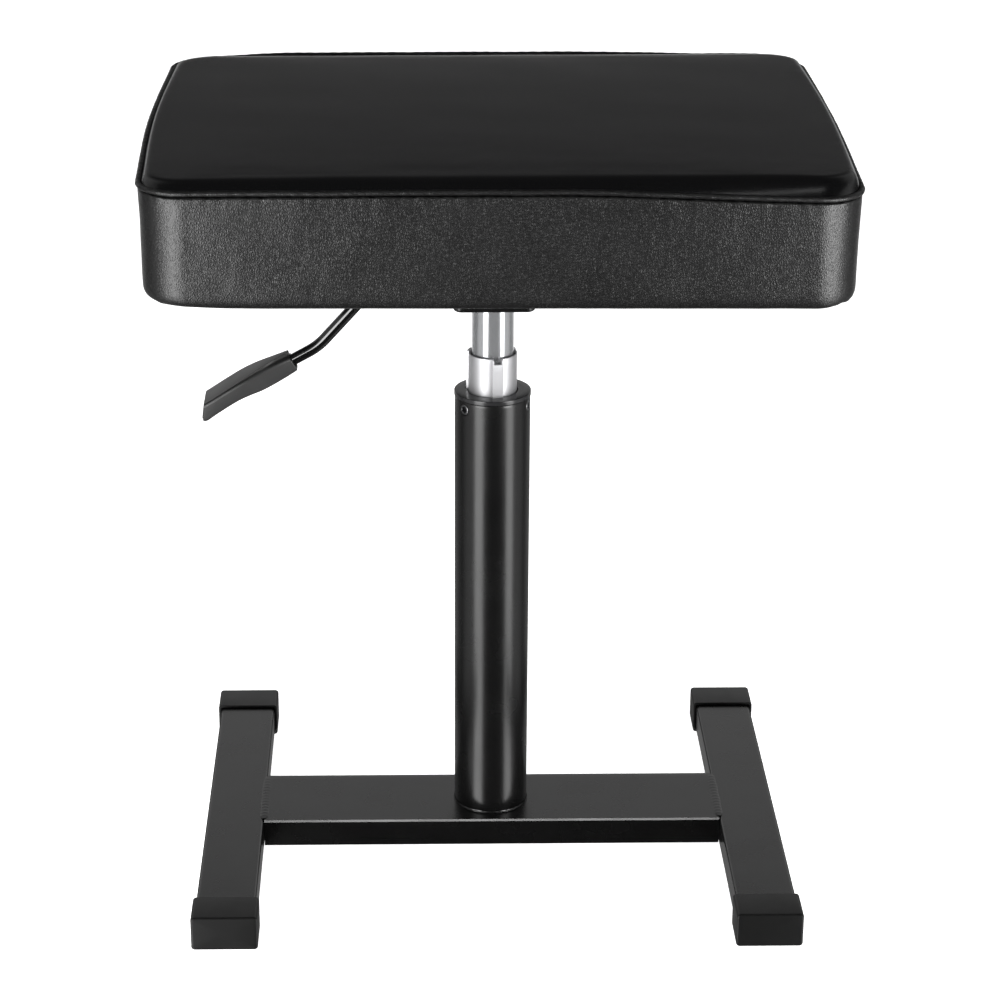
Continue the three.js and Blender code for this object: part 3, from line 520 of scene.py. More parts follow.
@dataclass
class Piece:
    """One visible piece of the bench, named after the construction node that it stands for.

    Attributes:
        node: The node's name. The piece has the same name with a capital.
        body: The body that it moves with.
        slot: The material slot that gives its finish.
        patches: The grids that its mesh is welded from.
        also: Other nodes that it stands for.
        sharp_degrees: Edges that turn by more than this are shaded sharp.
        finish: The finish, where it isn't the slot's own.
        extra: Whether the piece stands for no node.
    """

    node: str
    body: Body
    slot: Slot
    patches: list[Patch]
    also: tuple[str, ...] = ()
    sharp_degrees: float = 38.0
    finish: Finish | None = None
    extra: bool = False

    def place(self) -> bpy.types.Object:
        """Makes the welded mesh, dresses it, and hands it to its body.

        Points of all grids that fall together are joined, quads that lost a corner become triangles, and
        the faces are turned outwards.

        Returns:
            The object, at the origin.
        """
        name = self.node.capitalize()
        vertices, faces = weld(self.patches)[:2]
        mesh = bpy.data.meshes.new(name)
        mesh.from_pydata((vertices * MM).tolist(), [], faces)
        turn_outwards(mesh)
        mesh.shade_smooth()
        mesh.set_sharp_from_angle(angle=math.radians(self.sharp_degrees))
        mesh.materials.append((self.finish or FINISHES[self.slot]).material())
        piece = bpy.data.objects.new(name, mesh)
        bpy.context.scene.collection.objects.link(piece)
        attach(piece, self.body.value)
        if not self.extra:
            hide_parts(self.node, *self.also)
        LOG.info("%s: %d points, %d faces", name, len(vertices), len(faces))
        return piece


def weld(patches: Sequence[Patch]) -> tuple[Array, list[list[int]], Array]:
    """Joins grids into one list of points and faces.

    Args:
        patches: The grids.

    Returns:
        The points, the faces as lists of three or four point numbers, and the number of the point that
        each of the grids' own points became.
    """
    starts = np.cumsum([0] + [patch.points.shape[0] * patch.points.shape[1] for patch in patches])
    points = np.concatenate([patch.points.reshape(-1, 3) for patch in patches])
    quads = np.concatenate([patch.quads() + start for patch, start in zip(patches, starts)])
    keys = np.round(points / WELD_MM).astype(np.int64)
    _, first, joined = np.unique(keys, axis=0, return_index=True, return_inverse=True)
    joined = joined.reshape(-1)
    quads = joined[quads]
    same = quads == np.roll(quads, -1, axis=1)
    whole = quads[~same.any(axis=1)]
    faces = whole[(whole[:, 0] != whole[:, 2]) & (whole[:, 1] != whole[:, 3])].tolist()
    for corner in range(4):
        lost = quads[same[:, corner] & (same.sum(axis=1) == 1)]
        faces += np.delete(lost, corner, axis=1).tolist()
    return points[first], faces, joined


def turn_outwards(mesh: bpy.types.Mesh) -> None:
    """Turns the faces of a closed mesh outwards.

    Args:
        mesh: The mesh.
    """
    work = bmesh.new()
    work.from_mesh(mesh)
    bmesh.ops.recalc_face_normals(work, faces=work.faces)
    if work.calc_volume(signed=True) < 0:
        bmesh.ops.reverse_faces(work, faces=work.faces)
    work.to_mesh(mesh)
    work.free()


@dataclass(frozen=True)
class Loop:
    """The columns of a rounded rectangle, anticlockwise from its right-hand side.

    A column stands at a corner's centre, or on the line between two of them, and its point lies one
    corner radius further out. Loops of other sizes have matching columns.

    Attributes:
        across: Where the column stands, as a share of the half width less the radius.
        along: The same for the half depth.
        angle: The outward direction, in radians.
    """

    across: Array
    along: Array
    angle: Array

    @classmethod
    def rounded(cls, side_x: int, side_y: int, corner: int) -> Loop:
        """Divides a rounded rectangle's sides and corners into even steps.

        Args:
            side_x: The steps of a side along X.
            side_y: The steps of a side along Y.
            corner: The steps of a corner.

        Returns:
            The columns.
        """
        signs = np.array([(1, 1), (-1, 1), (-1, -1), (1, -1)], float)
        rows: list[Array] = []
        for quarter in range(4):
            here = signs[quarter]
            after = signs[(quarter + 1) % 4]
            turn = (quarter + np.linspace(0, 1, corner + 1)) * math.pi / 2
            rows.append(np.column_stack([np.tile(here, (corner + 1, 1)), turn]))
            steps = side_x if quarter % 2 == 0 else side_y
            share = np.arange(1, steps)[:, None] / steps
            straight = here * (1 - share) + after * share
            rows.append(np.column_stack([straight, np.full(steps - 1, turn[-1])]))
        return cls(*np.concatenate(rows).T)

    def outward(self) -> Array:
        """Gives the outward direction of each column."""
        return np.column_stack([np.cos(self.angle), np.sin(self.angle)])

    def ring(self, half_x: float, half_y: float, radius: float) -> Array:
        """Gives the points of a rounded rectangle of the given size."""
        stand = np.column_stack([self.across * (half_x - radius), self.along * (half_y - radius)])
        return stand + radius * self.outward()


def soften(corners: Sequence[Sequence[float]], reach: float | Sequence[float], steps: int = 5) -> Array:
    """Rounds the inner corners of an open outline.

    Each corner is replaced by a parabola that leaves its two edges at the reach, or at just under half
    of a shorter edge.

    Args:
        corners: The outline's corners.
        reach: How far each rounding reaches along its edges, one for all or one for each corner.
        steps: How many steps a rounding has.

    Returns:
        The points of the outline.
    """
    outline = np.array(corners, float)
    reaches = np.broadcast_to(np.array(reach, float), len(outline))
    share = np.linspace(0, 1, steps + 1)[:, None]
    rounded = [outline[:1]]
    for before, corner, after, limit in zip(outline, outline[1:], outline[2:], reaches[1:]):
        back = before - corner
        ahead = after - corner
        lengths = np.linalg.norm([back, ahead], axis=1)
        room = min(limit, 0.49 * lengths.min())
        start = corner + back / lengths[0] * room
        end = corner + ahead / lengths[1] * room
        rounded.append((1 - share) ** 2 * start + 2 * share * (1 - share) * corner + share**2 * end)
    rounded.append(outline[-1:])
    return np.concatenate(rounded)


def lengths_along(points: Array) -> Array:
    """Gives the distance of each point of a line from its first point."""
    return np.concatenate([[0.0], np.cumsum(np.linalg.norm(np.diff(points, axis=0), axis=1))])


def lengths_round(points: Array) -> tuple[Array, float]:
    """Gives the distance of each point of a closed line from its first point, and its whole length."""
    distance = lengths_along(np.vstack([points, points[:1]]))
    return distance[:-1], distance[-1]


def respaced(points: Array, places: Array) -> Array:
    """Gives the points that lie at the given distances along a line."""
    distance = lengths_along(points)
    return np.column_stack([np.interp(places, distance, column) for column in points.T])


def smooth_sample(values: Array, places: Array, around: bool) -> Array:
    """Samples rows of values at fractional places with a smooth cubic through them.

    Args:
        values: The rows.
        places: Row numbers with fractions.
        around: Whether the last row is followed by the first.

    Returns:
        One row for each place.
    """
    count = len(values)
    base = np.floor(places).astype(int)
    share = (places - base).reshape(-1, *[1] * (values.ndim - 1))
    picks = [base + step for step in (-1, 0, 1, 2)]
    picks = [pick % count if around else np.clip(pick, 0, count - 1) for pick in picks]
    before, here, after, beyond = (values[pick] for pick in picks)
    slope = (after - before) / 2
    next_slope = (beyond - here) / 2
    return (
        (2 * share**3 - 3 * share**2 + 1) * here
        + (share**3 - 2 * share**2 + share) * slope
        + (3 * share**2 - 2 * share**3) * after
        + (share**3 - share**2) * next_slope
    )


def smooth_grid(values: Array, rows: Array, columns: Array, around: bool) -> Array:
    """Samples a grid of values at fractional rows and columns with smooth cubics.

    Args:
        values: The grid.
        rows: Row numbers with fractions.
        columns: Column numbers with fractions.
        around: Whether the last column is followed by the first.

    Returns:
        The finer grid.
    """
    by_row = smooth_sample(values, rows, False)
    return smooth_sample(by_row.swapaxes(0, 1), columns, around).swapaxes(0, 1)


def wavy_field(points: Array, wavelength: float, seed: int) -> Array:
    """Gives a smooth random field, about one high, as a sum of plane waves in random directions.

    Args:
        points: Where it is wanted, with X, Y and Z last.
        wavelength: The usual distance between its crests, in millimetres.
        seed: The number that fixes its random choices.

    Returns:
        The field, without the last axis.
    """
    waves = 12
    source = np.random.default_rng(seed)
    directions = source.normal(size=(waves, 3))
    directions /= np.linalg.norm(directions, axis=1, keepdims=True)
    turns = 2 * np.pi / (wavelength * source.uniform(0.7, 1.4, waves))
    phases = source.uniform(0, 2 * np.pi, waves)
    return np.sin(points @ (directions * turns[:, None]).T + phases).sum(axis=-1) / math.sqrt(waves)


def wander(places: Array, length: float, pitch: float, seed: int) -> Array:
    """Gives a random wave along a closed line, about one high, as a sum of sines that close on it.

    Args:
        places: Distances along the line.
        length: The line's length.
        pitch: The usual distance between the wave's crests.
        seed: The number that fixes its random choices.

    Returns:
        The wave at the places.
    """
    sines = 9
    source = np.random.default_rng(seed)
    middle = length / pitch
    counts = source.integers(int(middle * 0.6), int(middle * 1.5) + 1, sines)
    phases = source.uniform(0, 2 * np.pi, sines)
    return np.sin(places[..., None] * 2 * np.pi * counts / length + phases).sum(axis=-1) / math.sqrt(sines)


def smooth_step(values: Array) -> Array:
    """Rises smoothly from 0 to 1 as the values do."""
    share = np.clip(values, 0, 1)
    return share**2 * (3 - 2 * share)


def polar(radius: Array, angle: Array, height: Array) -> Array:
    """Gives the points at a radius from Z, an angle about it and a height."""
    return np.stack(np.broadcast_arrays(radius * np.cos(angle), radius * np.sin(angle), height), axis=-1)


def turned(profile: Array, angles: Array, across: Array | float = 1.0) -> Array:
    """Turns a profile of radius and height about Z, with a factor for the radius by row and column."""
    return polar(profile[:, :1] * across, angles, profile[:, 1:])


def circle(count: int) -> Array:
    """Gives evenly spaced angles round a full turn."""
    return np.arange(count) * 2 * np.pi / count


def signed_turn(angles: Array, start: float) -> Array:
    """Gives the turn from one direction to others, between half a turn back and half a turn ahead."""
    return (angles - start + np.pi) % (2 * np.pi) - np.pi


def hexagonal(angles: Array) -> Array:
    """Gives a hexagon's radius over its half width across flats, with its corners eased.

    The six distances to the flats, each one over the cosine of the angle from the flat's middle, are
    joined by a power mean, which rounds the corners.

    Args:
        angles: Where the radius is wanted.

    Returns:
        The radius, one at the middle of a flat.
    """
    power = 24.0
    facing = np.clip(np.cos(np.subtract.outer(angles, circle(6))), 0, None)
    return (facing**power).sum(axis=1) ** (-1 / power)


def edge_path(grid: Array, rows: tuple[int, int], columns: tuple[int, int]) -> Array:
    """Gives the points round a rectangle of a grid.

    Args:
        grid: The grid.
        rows: The rectangle's first and last row.
        columns: Its first and last column.

    Returns:
        The points, once round.
    """
    low, high = rows
    left, right = columns
    sides = [grid[low, left:right], grid[low:high, right]]
    sides += [grid[high, left + 1 : right + 1][::-1], grid[low + 1 : high + 1, left][::-1]]
    return np.concatenate(sides)


def placed(points: Array, axes: Array, origin: Sequence[float]) -> Array:
    """Turns points from local axes, given as rows, into the frame and moves them to the origin."""
    return points @ np.array(axes, float) + np.array(origin, float)


def filled(
    loop: Loop, sides: tuple[int, int], half: Sequence[float], radius: float, insets: Array
) -> list[Array]:
    """Covers a rounded rectangle with rings and a grid inside them.

    The rings follow the outline inwards until its corner radius is used up, and a plain grid of the
    loop's own side steps fills the rectangle that is left.

    Args:
        loop: The columns.
        sides: The loop's steps along X and Y.
        half: Half the width and half the depth of the outline.
        radius: The outline's corner radius.
        insets: The rings' distances from the outline, rising from 0 to the radius.

    Returns:
        The rings and the inner grid, each as rows, columns, X and Y.
    """
    rings = np.stack([loop.ring(half[0] - inset, half[1] - inset, radius - inset) for inset in insets])
    left_x = (half[0] - radius) * np.linspace(-1, 1, sides[0] + 1)
    left_y = (half[1] - radius) * np.linspace(-1, 1, sides[1] + 1)
    return [rings, np.stack(np.meshgrid(left_x, left_y), axis=-1)]


def at_height(flat: Array, height: Array | float) -> Array:
    """Adds a height to points of X and Y."""
    return np.concatenate([flat, np.broadcast_to(height, flat.shape[:-1])[..., None]], axis=-1)


@dataclass(frozen=True)
class DrilledWall:
    """A wall of even thickness with round holes, as a function of two distances and a depth.

    Attributes:
        surface: Gives points from distances u and v along the outer face and a depth below it.
        u_lines: Where the grid's columns lie.
        v_lines: Where the grid's rows lie.
        wall: The wall's thickness.
        holes: Each hole's u, v and radius.
        windows: The grid rectangle round each hole: its first and last row and first and last column.
        around: Whether the last column joins the first.
    """

    surface: Callable[[Array, Array, Array], Array]
    u_lines: Array
    v_lines: Array
    wall: float
    holes: Sequence[tuple[float, float, float]]
    windows: Sequence[tuple[int, int, int, int]]
    around: bool = True

    def patches(self) -> list[Patch]:
        """Makes the wall's grids.

        A hole's annulus goes straight from the window's edge to the circle, along rays from its centre,
        and its rim is eased.

        Returns:
            Both faces, and for each hole the annulus on either face with the hole's wall.
        """
        u_grid, v_grid = np.meshgrid(self.u_lines, self.v_lines)
        keep = np.ones((len(self.v_lines) - 1, len(self.u_lines) - (0 if self.around else 1)), bool)
        for low, high, left, right in self.windows:
            keep[low:high, left:right] = False
        faces = [
            Patch(self.surface(u_grid, v_grid, np.full_like(u_grid, depth)), around=self.around, keep=keep)
            for depth in (0.0, self.wall)
        ]
        flat = np.stack([u_grid, v_grid], axis=-1)
        shares = np.array([0.0, 0.4, 0.7, 0.88, 0.96, 1.0])[:, None, None]
        eased = min(0.25, self.wall / 4) * np.array([0.0, 0.0, 0.0, 0.0, 0.2, 1.0])
        depth = np.concatenate([eased, (self.wall - eased)[::-1]])
        for (u_mid, v_mid, radius), (low, high, left, right) in zip(self.holes, self.windows):
            offset = edge_path(flat, (low, high), (left, right)) - (u_mid, v_mid)
            rim = radius * offset / np.linalg.norm(offset, axis=1, keepdims=True)
            spokes = offset * (1 - shares) + rim * shares + (u_mid, v_mid)
            rows = np.concatenate([spokes, spokes[::-1]])
            deep = np.broadcast_to(depth[:, None], rows.shape[:2])
            faces.append(Patch(self.surface(rows[..., 0], rows[..., 1], deep)))
        return faces


# Sub-assemblies


@dataclass
class WeldedBase:
    """The H base: two foot tubes, a crossbar between them, four moulded caps and two flush welds."""

    tube_wall: float = 1.5
    tube_corner: float = 2.2
    cap_wall: float = 1.9
    cap_face: float = 3.0
    cap_corner: float = 2.4
    cap_edge: float = 1.7
    cap_lip: float = 4.0
    access_radius: float = 17.0
    ripple_pitch: float = 4.2
    bar_bevel: float = 1.1
    bevel_fold: float = 0.16
    flat_steps: int = 14
    section: Loop = field(init=False)

    def __post_init__(self) -> None:
        """Divides the section of the tubes and caps."""
        self.section = Loop.rounded(self.flat_steps, 8, 8)

    def build(self) -> None:
        """Makes all pieces of the base."""
        for side in ("left", "right"):
            self.foot_tube(f"foot_tube_{side}")
            self.foot_weld(f"foot_weld_{side}")
            for end in ("front", "back"):
                self.end_cap(f"end_cap_{end}_{side}", 1 if end == "front" else -1)
        self.crossbar()

    def tube_rings(self, size: Array) -> Array:
        """Gives the outer and the inner outline of a tube of the given width and height."""
        half = size / 2
        depths = (0.0, self.tube_wall)
        return np.stack([self.section.ring(*(half - depth), self.tube_corner - depth) for depth in depths])

    def foot_tube(self, node: str) -> None:
        """Makes one foot tube: the section carried straight from front to back, outside and inside.

        Args:
            node: The construction node.
        """
        box = Extent.of(node)
        stations = np.linspace(box.low[1], box.high[1], 24)[:, None]
        outer, inner = self.tube_rings(box.size[[0, 2]])
        outer = np.stack(np.broadcast_arrays(outer[:, 0], stations, outer[:, 1]), axis=-1)
        inner = np.stack(np.broadcast_arrays(inner[:, 0], stations, inner[:, 1]), axis=-1)
        shell = np.concatenate([outer, inner[::-1]]) + (box.centre[0], 0, box.centre[2])
        Piece(node, Body.BASE, Slot.FRAME, [Patch(shell, closed=True)]).place()

    def crossbar(self) -> None:
        """Makes the crossbar, with a bevel along its upper front edge and the access hole below."""
        box = Extent.of("crossbar")
        rings = self.tube_rings(box.size[[1, 2]])
        corner = self.tube_corner
        bevel = self.bar_bevel
        edge = np.array([(0, 0), (corner - bevel, 0), (corner, -bevel), (corner, -corner)])
        flat, slope, total = lengths_along(edge)[1:]
        folds = np.add.outer([flat, slope], [-self.bevel_fold, 0.0, self.bevel_fold]).ravel()
        stops = np.array([0, *folds[:3], (flat + slope) / 2, *folds[3:], total])
        front = (self.section.across == -1) & (self.section.along == 1)
        rings[0, front] = (corner - box.size[1] / 2, box.size[2] / 2) + respaced(edge, stops) * (-1, 1)
        under = np.flatnonzero(rings[0, :, 1] < -box.size[2] / 2 + WELD_MM)
        middle = int(under[np.argmin(np.abs(rings[0, under, 0]))])
        flat_step = (box.size[1] - 2 * corner) / self.flat_steps
        columns = rings.shape[1]

        def surface(u: Array, v: Array, depth: Array) -> Array:
            """Carries the section along X, going from its outer to its inner outline by the depth.

            Args:
                u: Distances round the section, from the middle of its underside.
                v: Distances along the bar.
                depth: Depths in the wall.

            Returns:
                The points.
            """
            place = middle + u / flat_step
            base = np.floor(place).astype(int)
            share = (place - base)[..., None]
            outer, inner = rings[:, base % columns] * (1 - share) + rings[:, (base + 1) % columns] * share
            mixed = outer + (inner - outer) * (depth / self.tube_wall)[..., None]
            return np.stack([v, mixed[..., 0], mixed[..., 1] + box.centre[2]], axis=-1)

        reach = 4
        near = np.linspace(-reach, reach, 2 * reach + 1) * flat_step
        far = np.linspace(near[-1], box.high[0], 12)[1:]
        stations = np.concatenate([-far[::-1], near, far])
        hole = (0.0, 0.0, self.access_radius)
        window = (len(far), len(far) + 2 * reach, middle - reach, middle + reach)
        u_lines = (np.arange(columns) - middle) * flat_step
        patches = DrilledWall(surface, u_lines, stations, self.tube_wall, [hole], [window]).patches()
        for row in (0, -1):
            patches.append(Patch(np.stack([patches[0].points[row], patches[1].points[row]])))
        Piece("crossbar", Body.BASE, Slot.FRAME, patches).place()

    def end_cap(self, node: str, outward: int) -> None:
        """Makes one cap: rings from its open rim round the outside to its face, and back down the pocket.

        The edges of the rim and the face are rounded, and the face is drawn together in its middle.

        Args:
            node: The construction node.
            outward: Whether its open end looks backwards, as 1, or forwards, as -1.
        """
        box = Extent.of(node)
        half_width, length, half_height = box.size / (2, 1, 2)
        pocket = self.cap_wall
        face = self.cap_face
        lip = length - self.cap_lip
        least = 0.01
        middle = half_height - least
        rows = np.concatenate(
            [
                soften(
                    [(pocket, lip), (pocket, length), (0, length), (0, 0), (middle, 0)],
                    [0, 0.5, 0.6, self.cap_edge, 0],
                    6,
                ),
                soften([(middle, face), (pocket, face), (pocket, lip)], [0, 1, 0], 3),
            ]
        )
        rings = [
            self.section.ring(
                max(half_width - inset, least) if inset < half_height - 0.1 else least,
                half_height - inset,
                min(max(self.cap_corner - inset * 0.6, 0.0), half_height - inset),
            )
            for inset in rows[:, 0]
        ]
        rings = np.stack(rings)
        depth = (box.low[1] if outward > 0 else box.high[1]) + outward * rows[:, 1:]
        points = np.stack(np.broadcast_arrays(rings[..., 0], depth, rings[..., 1]), axis=-1)
        points = points + (box.centre[0], 0, box.centre[2])
        Piece(node, Body.BASE, Slot.CAP, [Patch(points, closed=True)]).place()

    def foot_weld(self, node: str) -> None:
        """Makes one flush weld: half an ellipse in section, with ripples that lean along its run.

        The ripples are a sine of the distance along the seam, held back towards the bead's edges so
        that each one curves like a ladle's mark. The ends run out to nothing.

        Args:
            node: The construction node.
        """
        box = Extent.of(node)
        along = np.linspace(0, 1, 181)[:, None]
        turn = np.linspace(0, np.pi, 13)
        distance = along * box.size[1]
        lag = 1.4 * np.cos(turn) ** 2
        ripple = 1 + 0.14 * np.sin(2 * np.pi * (distance + lag) / self.ripple_pitch)
        taper = np.sqrt(np.clip(1 - (2 * along - 1) ** 8, 0, 1))
        across = np.cos(turn) * box.size[0] / 2 * taper * (1 + 0.06 * np.sin(distance / 3.1))
        height = np.sin(turn) * box.size[2] * 0.6 * taper * ripple
        y = np.broadcast_to(box.low[1] + distance, height.shape)
        top = np.stack([box.centre[0] + across, y, box.low[2] + height], axis=-1)
        under = top[:, [-1, 0]] * (1, 1, 0) + (0, 0, box.low[2])
        Piece(node, Body.BASE, Slot.FRAME, [Patch(np.concatenate([top, under], axis=1))]).place()


@dataclass
class Column:
    """The column: outer tube with three tapped holes, keyed guide collar, set screws and foot weld."""

    wall: float = 2.0
    rim_radius: float = 0.45
    hole_radius: float = 4.05
    key_turn: float = 10.0
    key_width: float = 7.3
    key_rise: float = 1.3
    key_ease: float = 0.12
    sleeve_radius: float = 16.25
    running_gap: float = 0.2
    flange_height: float = 3.0
    flange_edge: float = 0.5
    faced_radius: float = 20.5
    lead_in: float = 0.75
    screw_length: float = 5.6
    screw_proud: float = 0.8
    socket_across: float = 4.0
    socket_depth: float = 2.6
    weld_reach: float = 0.12
    weld_rise: float = 0.5
    ripple_depth: float = 0.03
    ripple_pitch: float = 5.5

    def build(self) -> None:
        """Makes all pieces of the column."""
        self.tube()
        self.collar()
        for number in (1, 2, 3):
            self.set_screw(number)
        self.foot_weld()

    def screw_angles(self) -> Array:
        """Gives the directions of the set screws, midway between the keys."""
        return self.key_angles() + np.pi / 3

    def key_angles(self) -> Array:
        """Gives the directions of the keys."""
        return np.radians(-90 + self.key_turn + 120 * np.arange(3))

    def keyed_radius(self, angles: Array, gap: float) -> Array:
        """Gives the radius of a round core with three keys on it.

        A key is the nearer of its outer face and its flank, in polar form, and the outline is the
        farther of the core and the keys. Both choices are eased, which rounds the corners.

        Args:
            angles: Where the radius is wanted.
            gap: Clearance on all sides.

        Returns:
            The radius.
        """
        ease = self.key_ease
        radius = np.full_like(angles, self.sleeve_radius + gap)
        for key in self.key_angles():
            offset = signed_turn(angles, key)
            facing = np.abs(offset) < np.pi / 3
            face = (self.sleeve_radius + self.key_rise + gap) / np.cos(np.where(facing, offset, 0))
            flank = (self.key_width / 2 + gap) / np.maximum(np.abs(np.sin(offset)), 1e-3)
            key_radius = -ease * np.logaddexp(-face / ease, -np.minimum(flank, 90) / ease)
            joined = ease * np.logaddexp(radius / ease, key_radius / ease)
            radius = np.where(facing, joined, radius)
        return radius

    def fine_angles(self) -> Array:
        """Gives angles round the turn that lie close together near the keys' flanks.

        Returns:
            The angles in radians, rising.
        """
        flank = math.degrees(math.asin(self.key_width / 2 / self.sleeve_radius))
        near = np.concatenate([np.arange(-3, 3.01, 0.3) + side * flank for side in (-1, 1)])
        near = np.concatenate([near, np.arange(-16, 16.1, 2)])
        keys = np.add.outer(np.degrees(self.key_angles()), near).ravel()
        merged = np.unique(np.round(np.concatenate([np.arange(0, 360, 2.5), keys % 360]), 2) % 360)
        apart = np.concatenate([[True], np.diff(merged) > 0.12])
        return np.radians(merged[apart])

    def tube(self) -> None:
        """Makes the outer tube: a cylinder given by angle and height, drilled for the set screws.

        The edges at both ends are rounded: a point rises by the height of a quarter circle at its
        distance from the nearer face.
        """
        box = Extent.of("column_tube")
        radius = box.size[0] / 2
        rim = self.rim_radius
        top = box.high[2] - rim
        screw_z = Extent.of("collar_screw_1").centre[2]
        third = 2 * math.pi / 3
        half_angle = math.radians(15)
        window = 6
        plain = 24
        beside = np.linspace(-half_angle, half_angle, window, endpoint=False)
        between = np.linspace(half_angle, third - half_angle, plain, endpoint=False)
        u_lines = radius * np.add.outer(self.screw_angles(), np.concatenate([beside, between])).ravel()
        reach = min(radius * half_angle, top - screw_z)
        low_rows = np.linspace(box.low[2] + rim, screw_z - reach, 30)
        hole_rows = np.linspace(screw_z - reach, screw_z + reach, window + 1)[1:]
        low = len(low_rows) - 1

        def surface(u: Array, v: Array, depth: Array) -> Array:
            """Gives points from the distance round the tube, the height and the depth in its wall."""
            return polar(radius - depth, u / radius, v)

        wall = DrilledWall(
            surface,
            u_lines,
            np.concatenate([low_rows, hole_rows, [top]]),
            self.wall,
            [(radius * angle, screw_z, self.hole_radius) for angle in self.screw_angles()],
            [(low, low + window, left, left + window) for left in range(0, len(u_lines), window + plain)],
        )
        patches = wall.patches()
        near = np.array([0.0, 0.06, 0.2, rim])
        depths = np.concatenate([near, self.wall - near[::-1]])
        to_face = np.minimum(depths, self.wall - depths)
        rises = np.sqrt(rim**2 - np.clip(rim - to_face, 0, rim) ** 2)[:, None]
        u_grid, depth_grid = np.meshgrid(u_lines, depths)
        for heights in (box.low[2] + rim - rises, top + rises):
            patches.append(Patch(surface(u_grid, heights, depth_grid)))
        Piece("column_tube", Body.BASE, Slot.FRAME, patches).place()

    def collar(self) -> None:
        """Makes the guide collar: bore with keyways, faced top, rounded flange and body in the tube."""
        box = Extent.of("guide_collar")
        angles = self.fine_angles()
        bore = self.keyed_radius(angles, self.running_gap)
        flange = box.size[0] / 2
        body = Extent.of("column_tube").size[0] / 2 - self.wall - self.running_gap
        low = box.low[2]
        top = box.high[2]
        under = top - self.flange_height
        lead = self.lead_in
        outline = soften(
            [(body, low), (body, under), (flange, under), (flange, top), (self.faced_radius, top)],
            [0, 0.3, 0.3, self.flange_edge, 0],
        )
        stages = [(lead, top), (lead - 0.15, top - 0.3), (0, top - 1.6), (0, low + 0.3), (0.3, low)]
        inside = np.stack([polar(bore + wider, angles, height) for wider, height in stages])
        points = np.concatenate([turned(outline, angles), inside])
        Piece("guide_collar", Body.BASE, Slot.COLLAR, [Patch(points, closed=True)]).place()

    def set_screw(self, number: int) -> None:
        """Makes one set screw: a turned cup with a hexagonal socket, laid along its hole's axis.

        Args:
            number: The screw's number, from 1.
        """
        node = f"collar_screw_{number}"
        box = Extent.of(node)
        direction = self.screw_angles()[number - 1]
        outward = np.array([math.cos(direction), math.sin(direction), 0.0])
        side = np.array([-math.sin(direction), math.cos(direction), 0.0])
        radius = box.size[2] / 2
        length = self.screw_length
        socket = self.socket_across / 2
        floor = length - self.socket_depth
        corners = [(0, floor - 0.6), (socket * 0.96, floor), (socket, length), (radius, length)]
        corners += [(radius, 0), (radius * 0.5, 0), (0, 0.8)]
        profile = soften(corners, [0, 0.15, 0.25, 0.6, 0.7, 0.4, 0], 4)
        angles = circle(72)
        six_sided = (profile[:, 0] <= socket + 0.2) & (profile[:, 1] > 1.0)
        local = turned(profile, angles, np.where(six_sided[:, None], hexagonal(angles), 1.0))
        local = local - (0, 0, length / 2)
        up = np.array([0.0, 0.0, 1.0])
        origin = outward * (float(box.centre @ outward) + self.screw_proud) + up * box.centre[2]
        patch = Patch(placed(local, np.stack([side, up, outward]), origin))
        Piece(node, Body.BASE, Slot.ZINC, [patch], finish=SCREW_STEEL).place()

    def foot_weld(self) -> None:
        """Makes the bead round the column's foot: a low hollow fillet with overlapping ripples."""
        box = Extent.of("column_weld")
        tube = Extent.of("column_tube").size[0] / 2 + 0.3
        leg = box.size[0] / 2 - tube
        low = box.low[2]
        angles = circle(576)
        share = np.linspace(0, 1, 11)[:, None]
        count = round(2 * np.pi * tube / self.ripple_pitch)
        wave = 0.5 + 0.5 * np.sin(angles * count + 2.2 * (share - 0.5) ** 2 * 4)
        uneven = np.minimum(1 + 0.08 * np.sin(3 * angles + 1.0) + 0.05 * np.sin(7 * angles), 1.0)
        bulge = leg * self.ripple_depth * wave * np.sin(np.pi * share)
        out = leg * self.weld_reach * (1 - share) * uneven + bulge
        rise = box.size[2] * self.weld_rise * share * uneven + bulge
        root = polar(np.full_like(angles, tube), angles, low)
        points = np.concatenate([polar(tube + out, angles, low + rise), root[None]])
        Piece("column_weld", Body.BASE, Slot.FRAME, [Patch(points, closed=True)]).place()


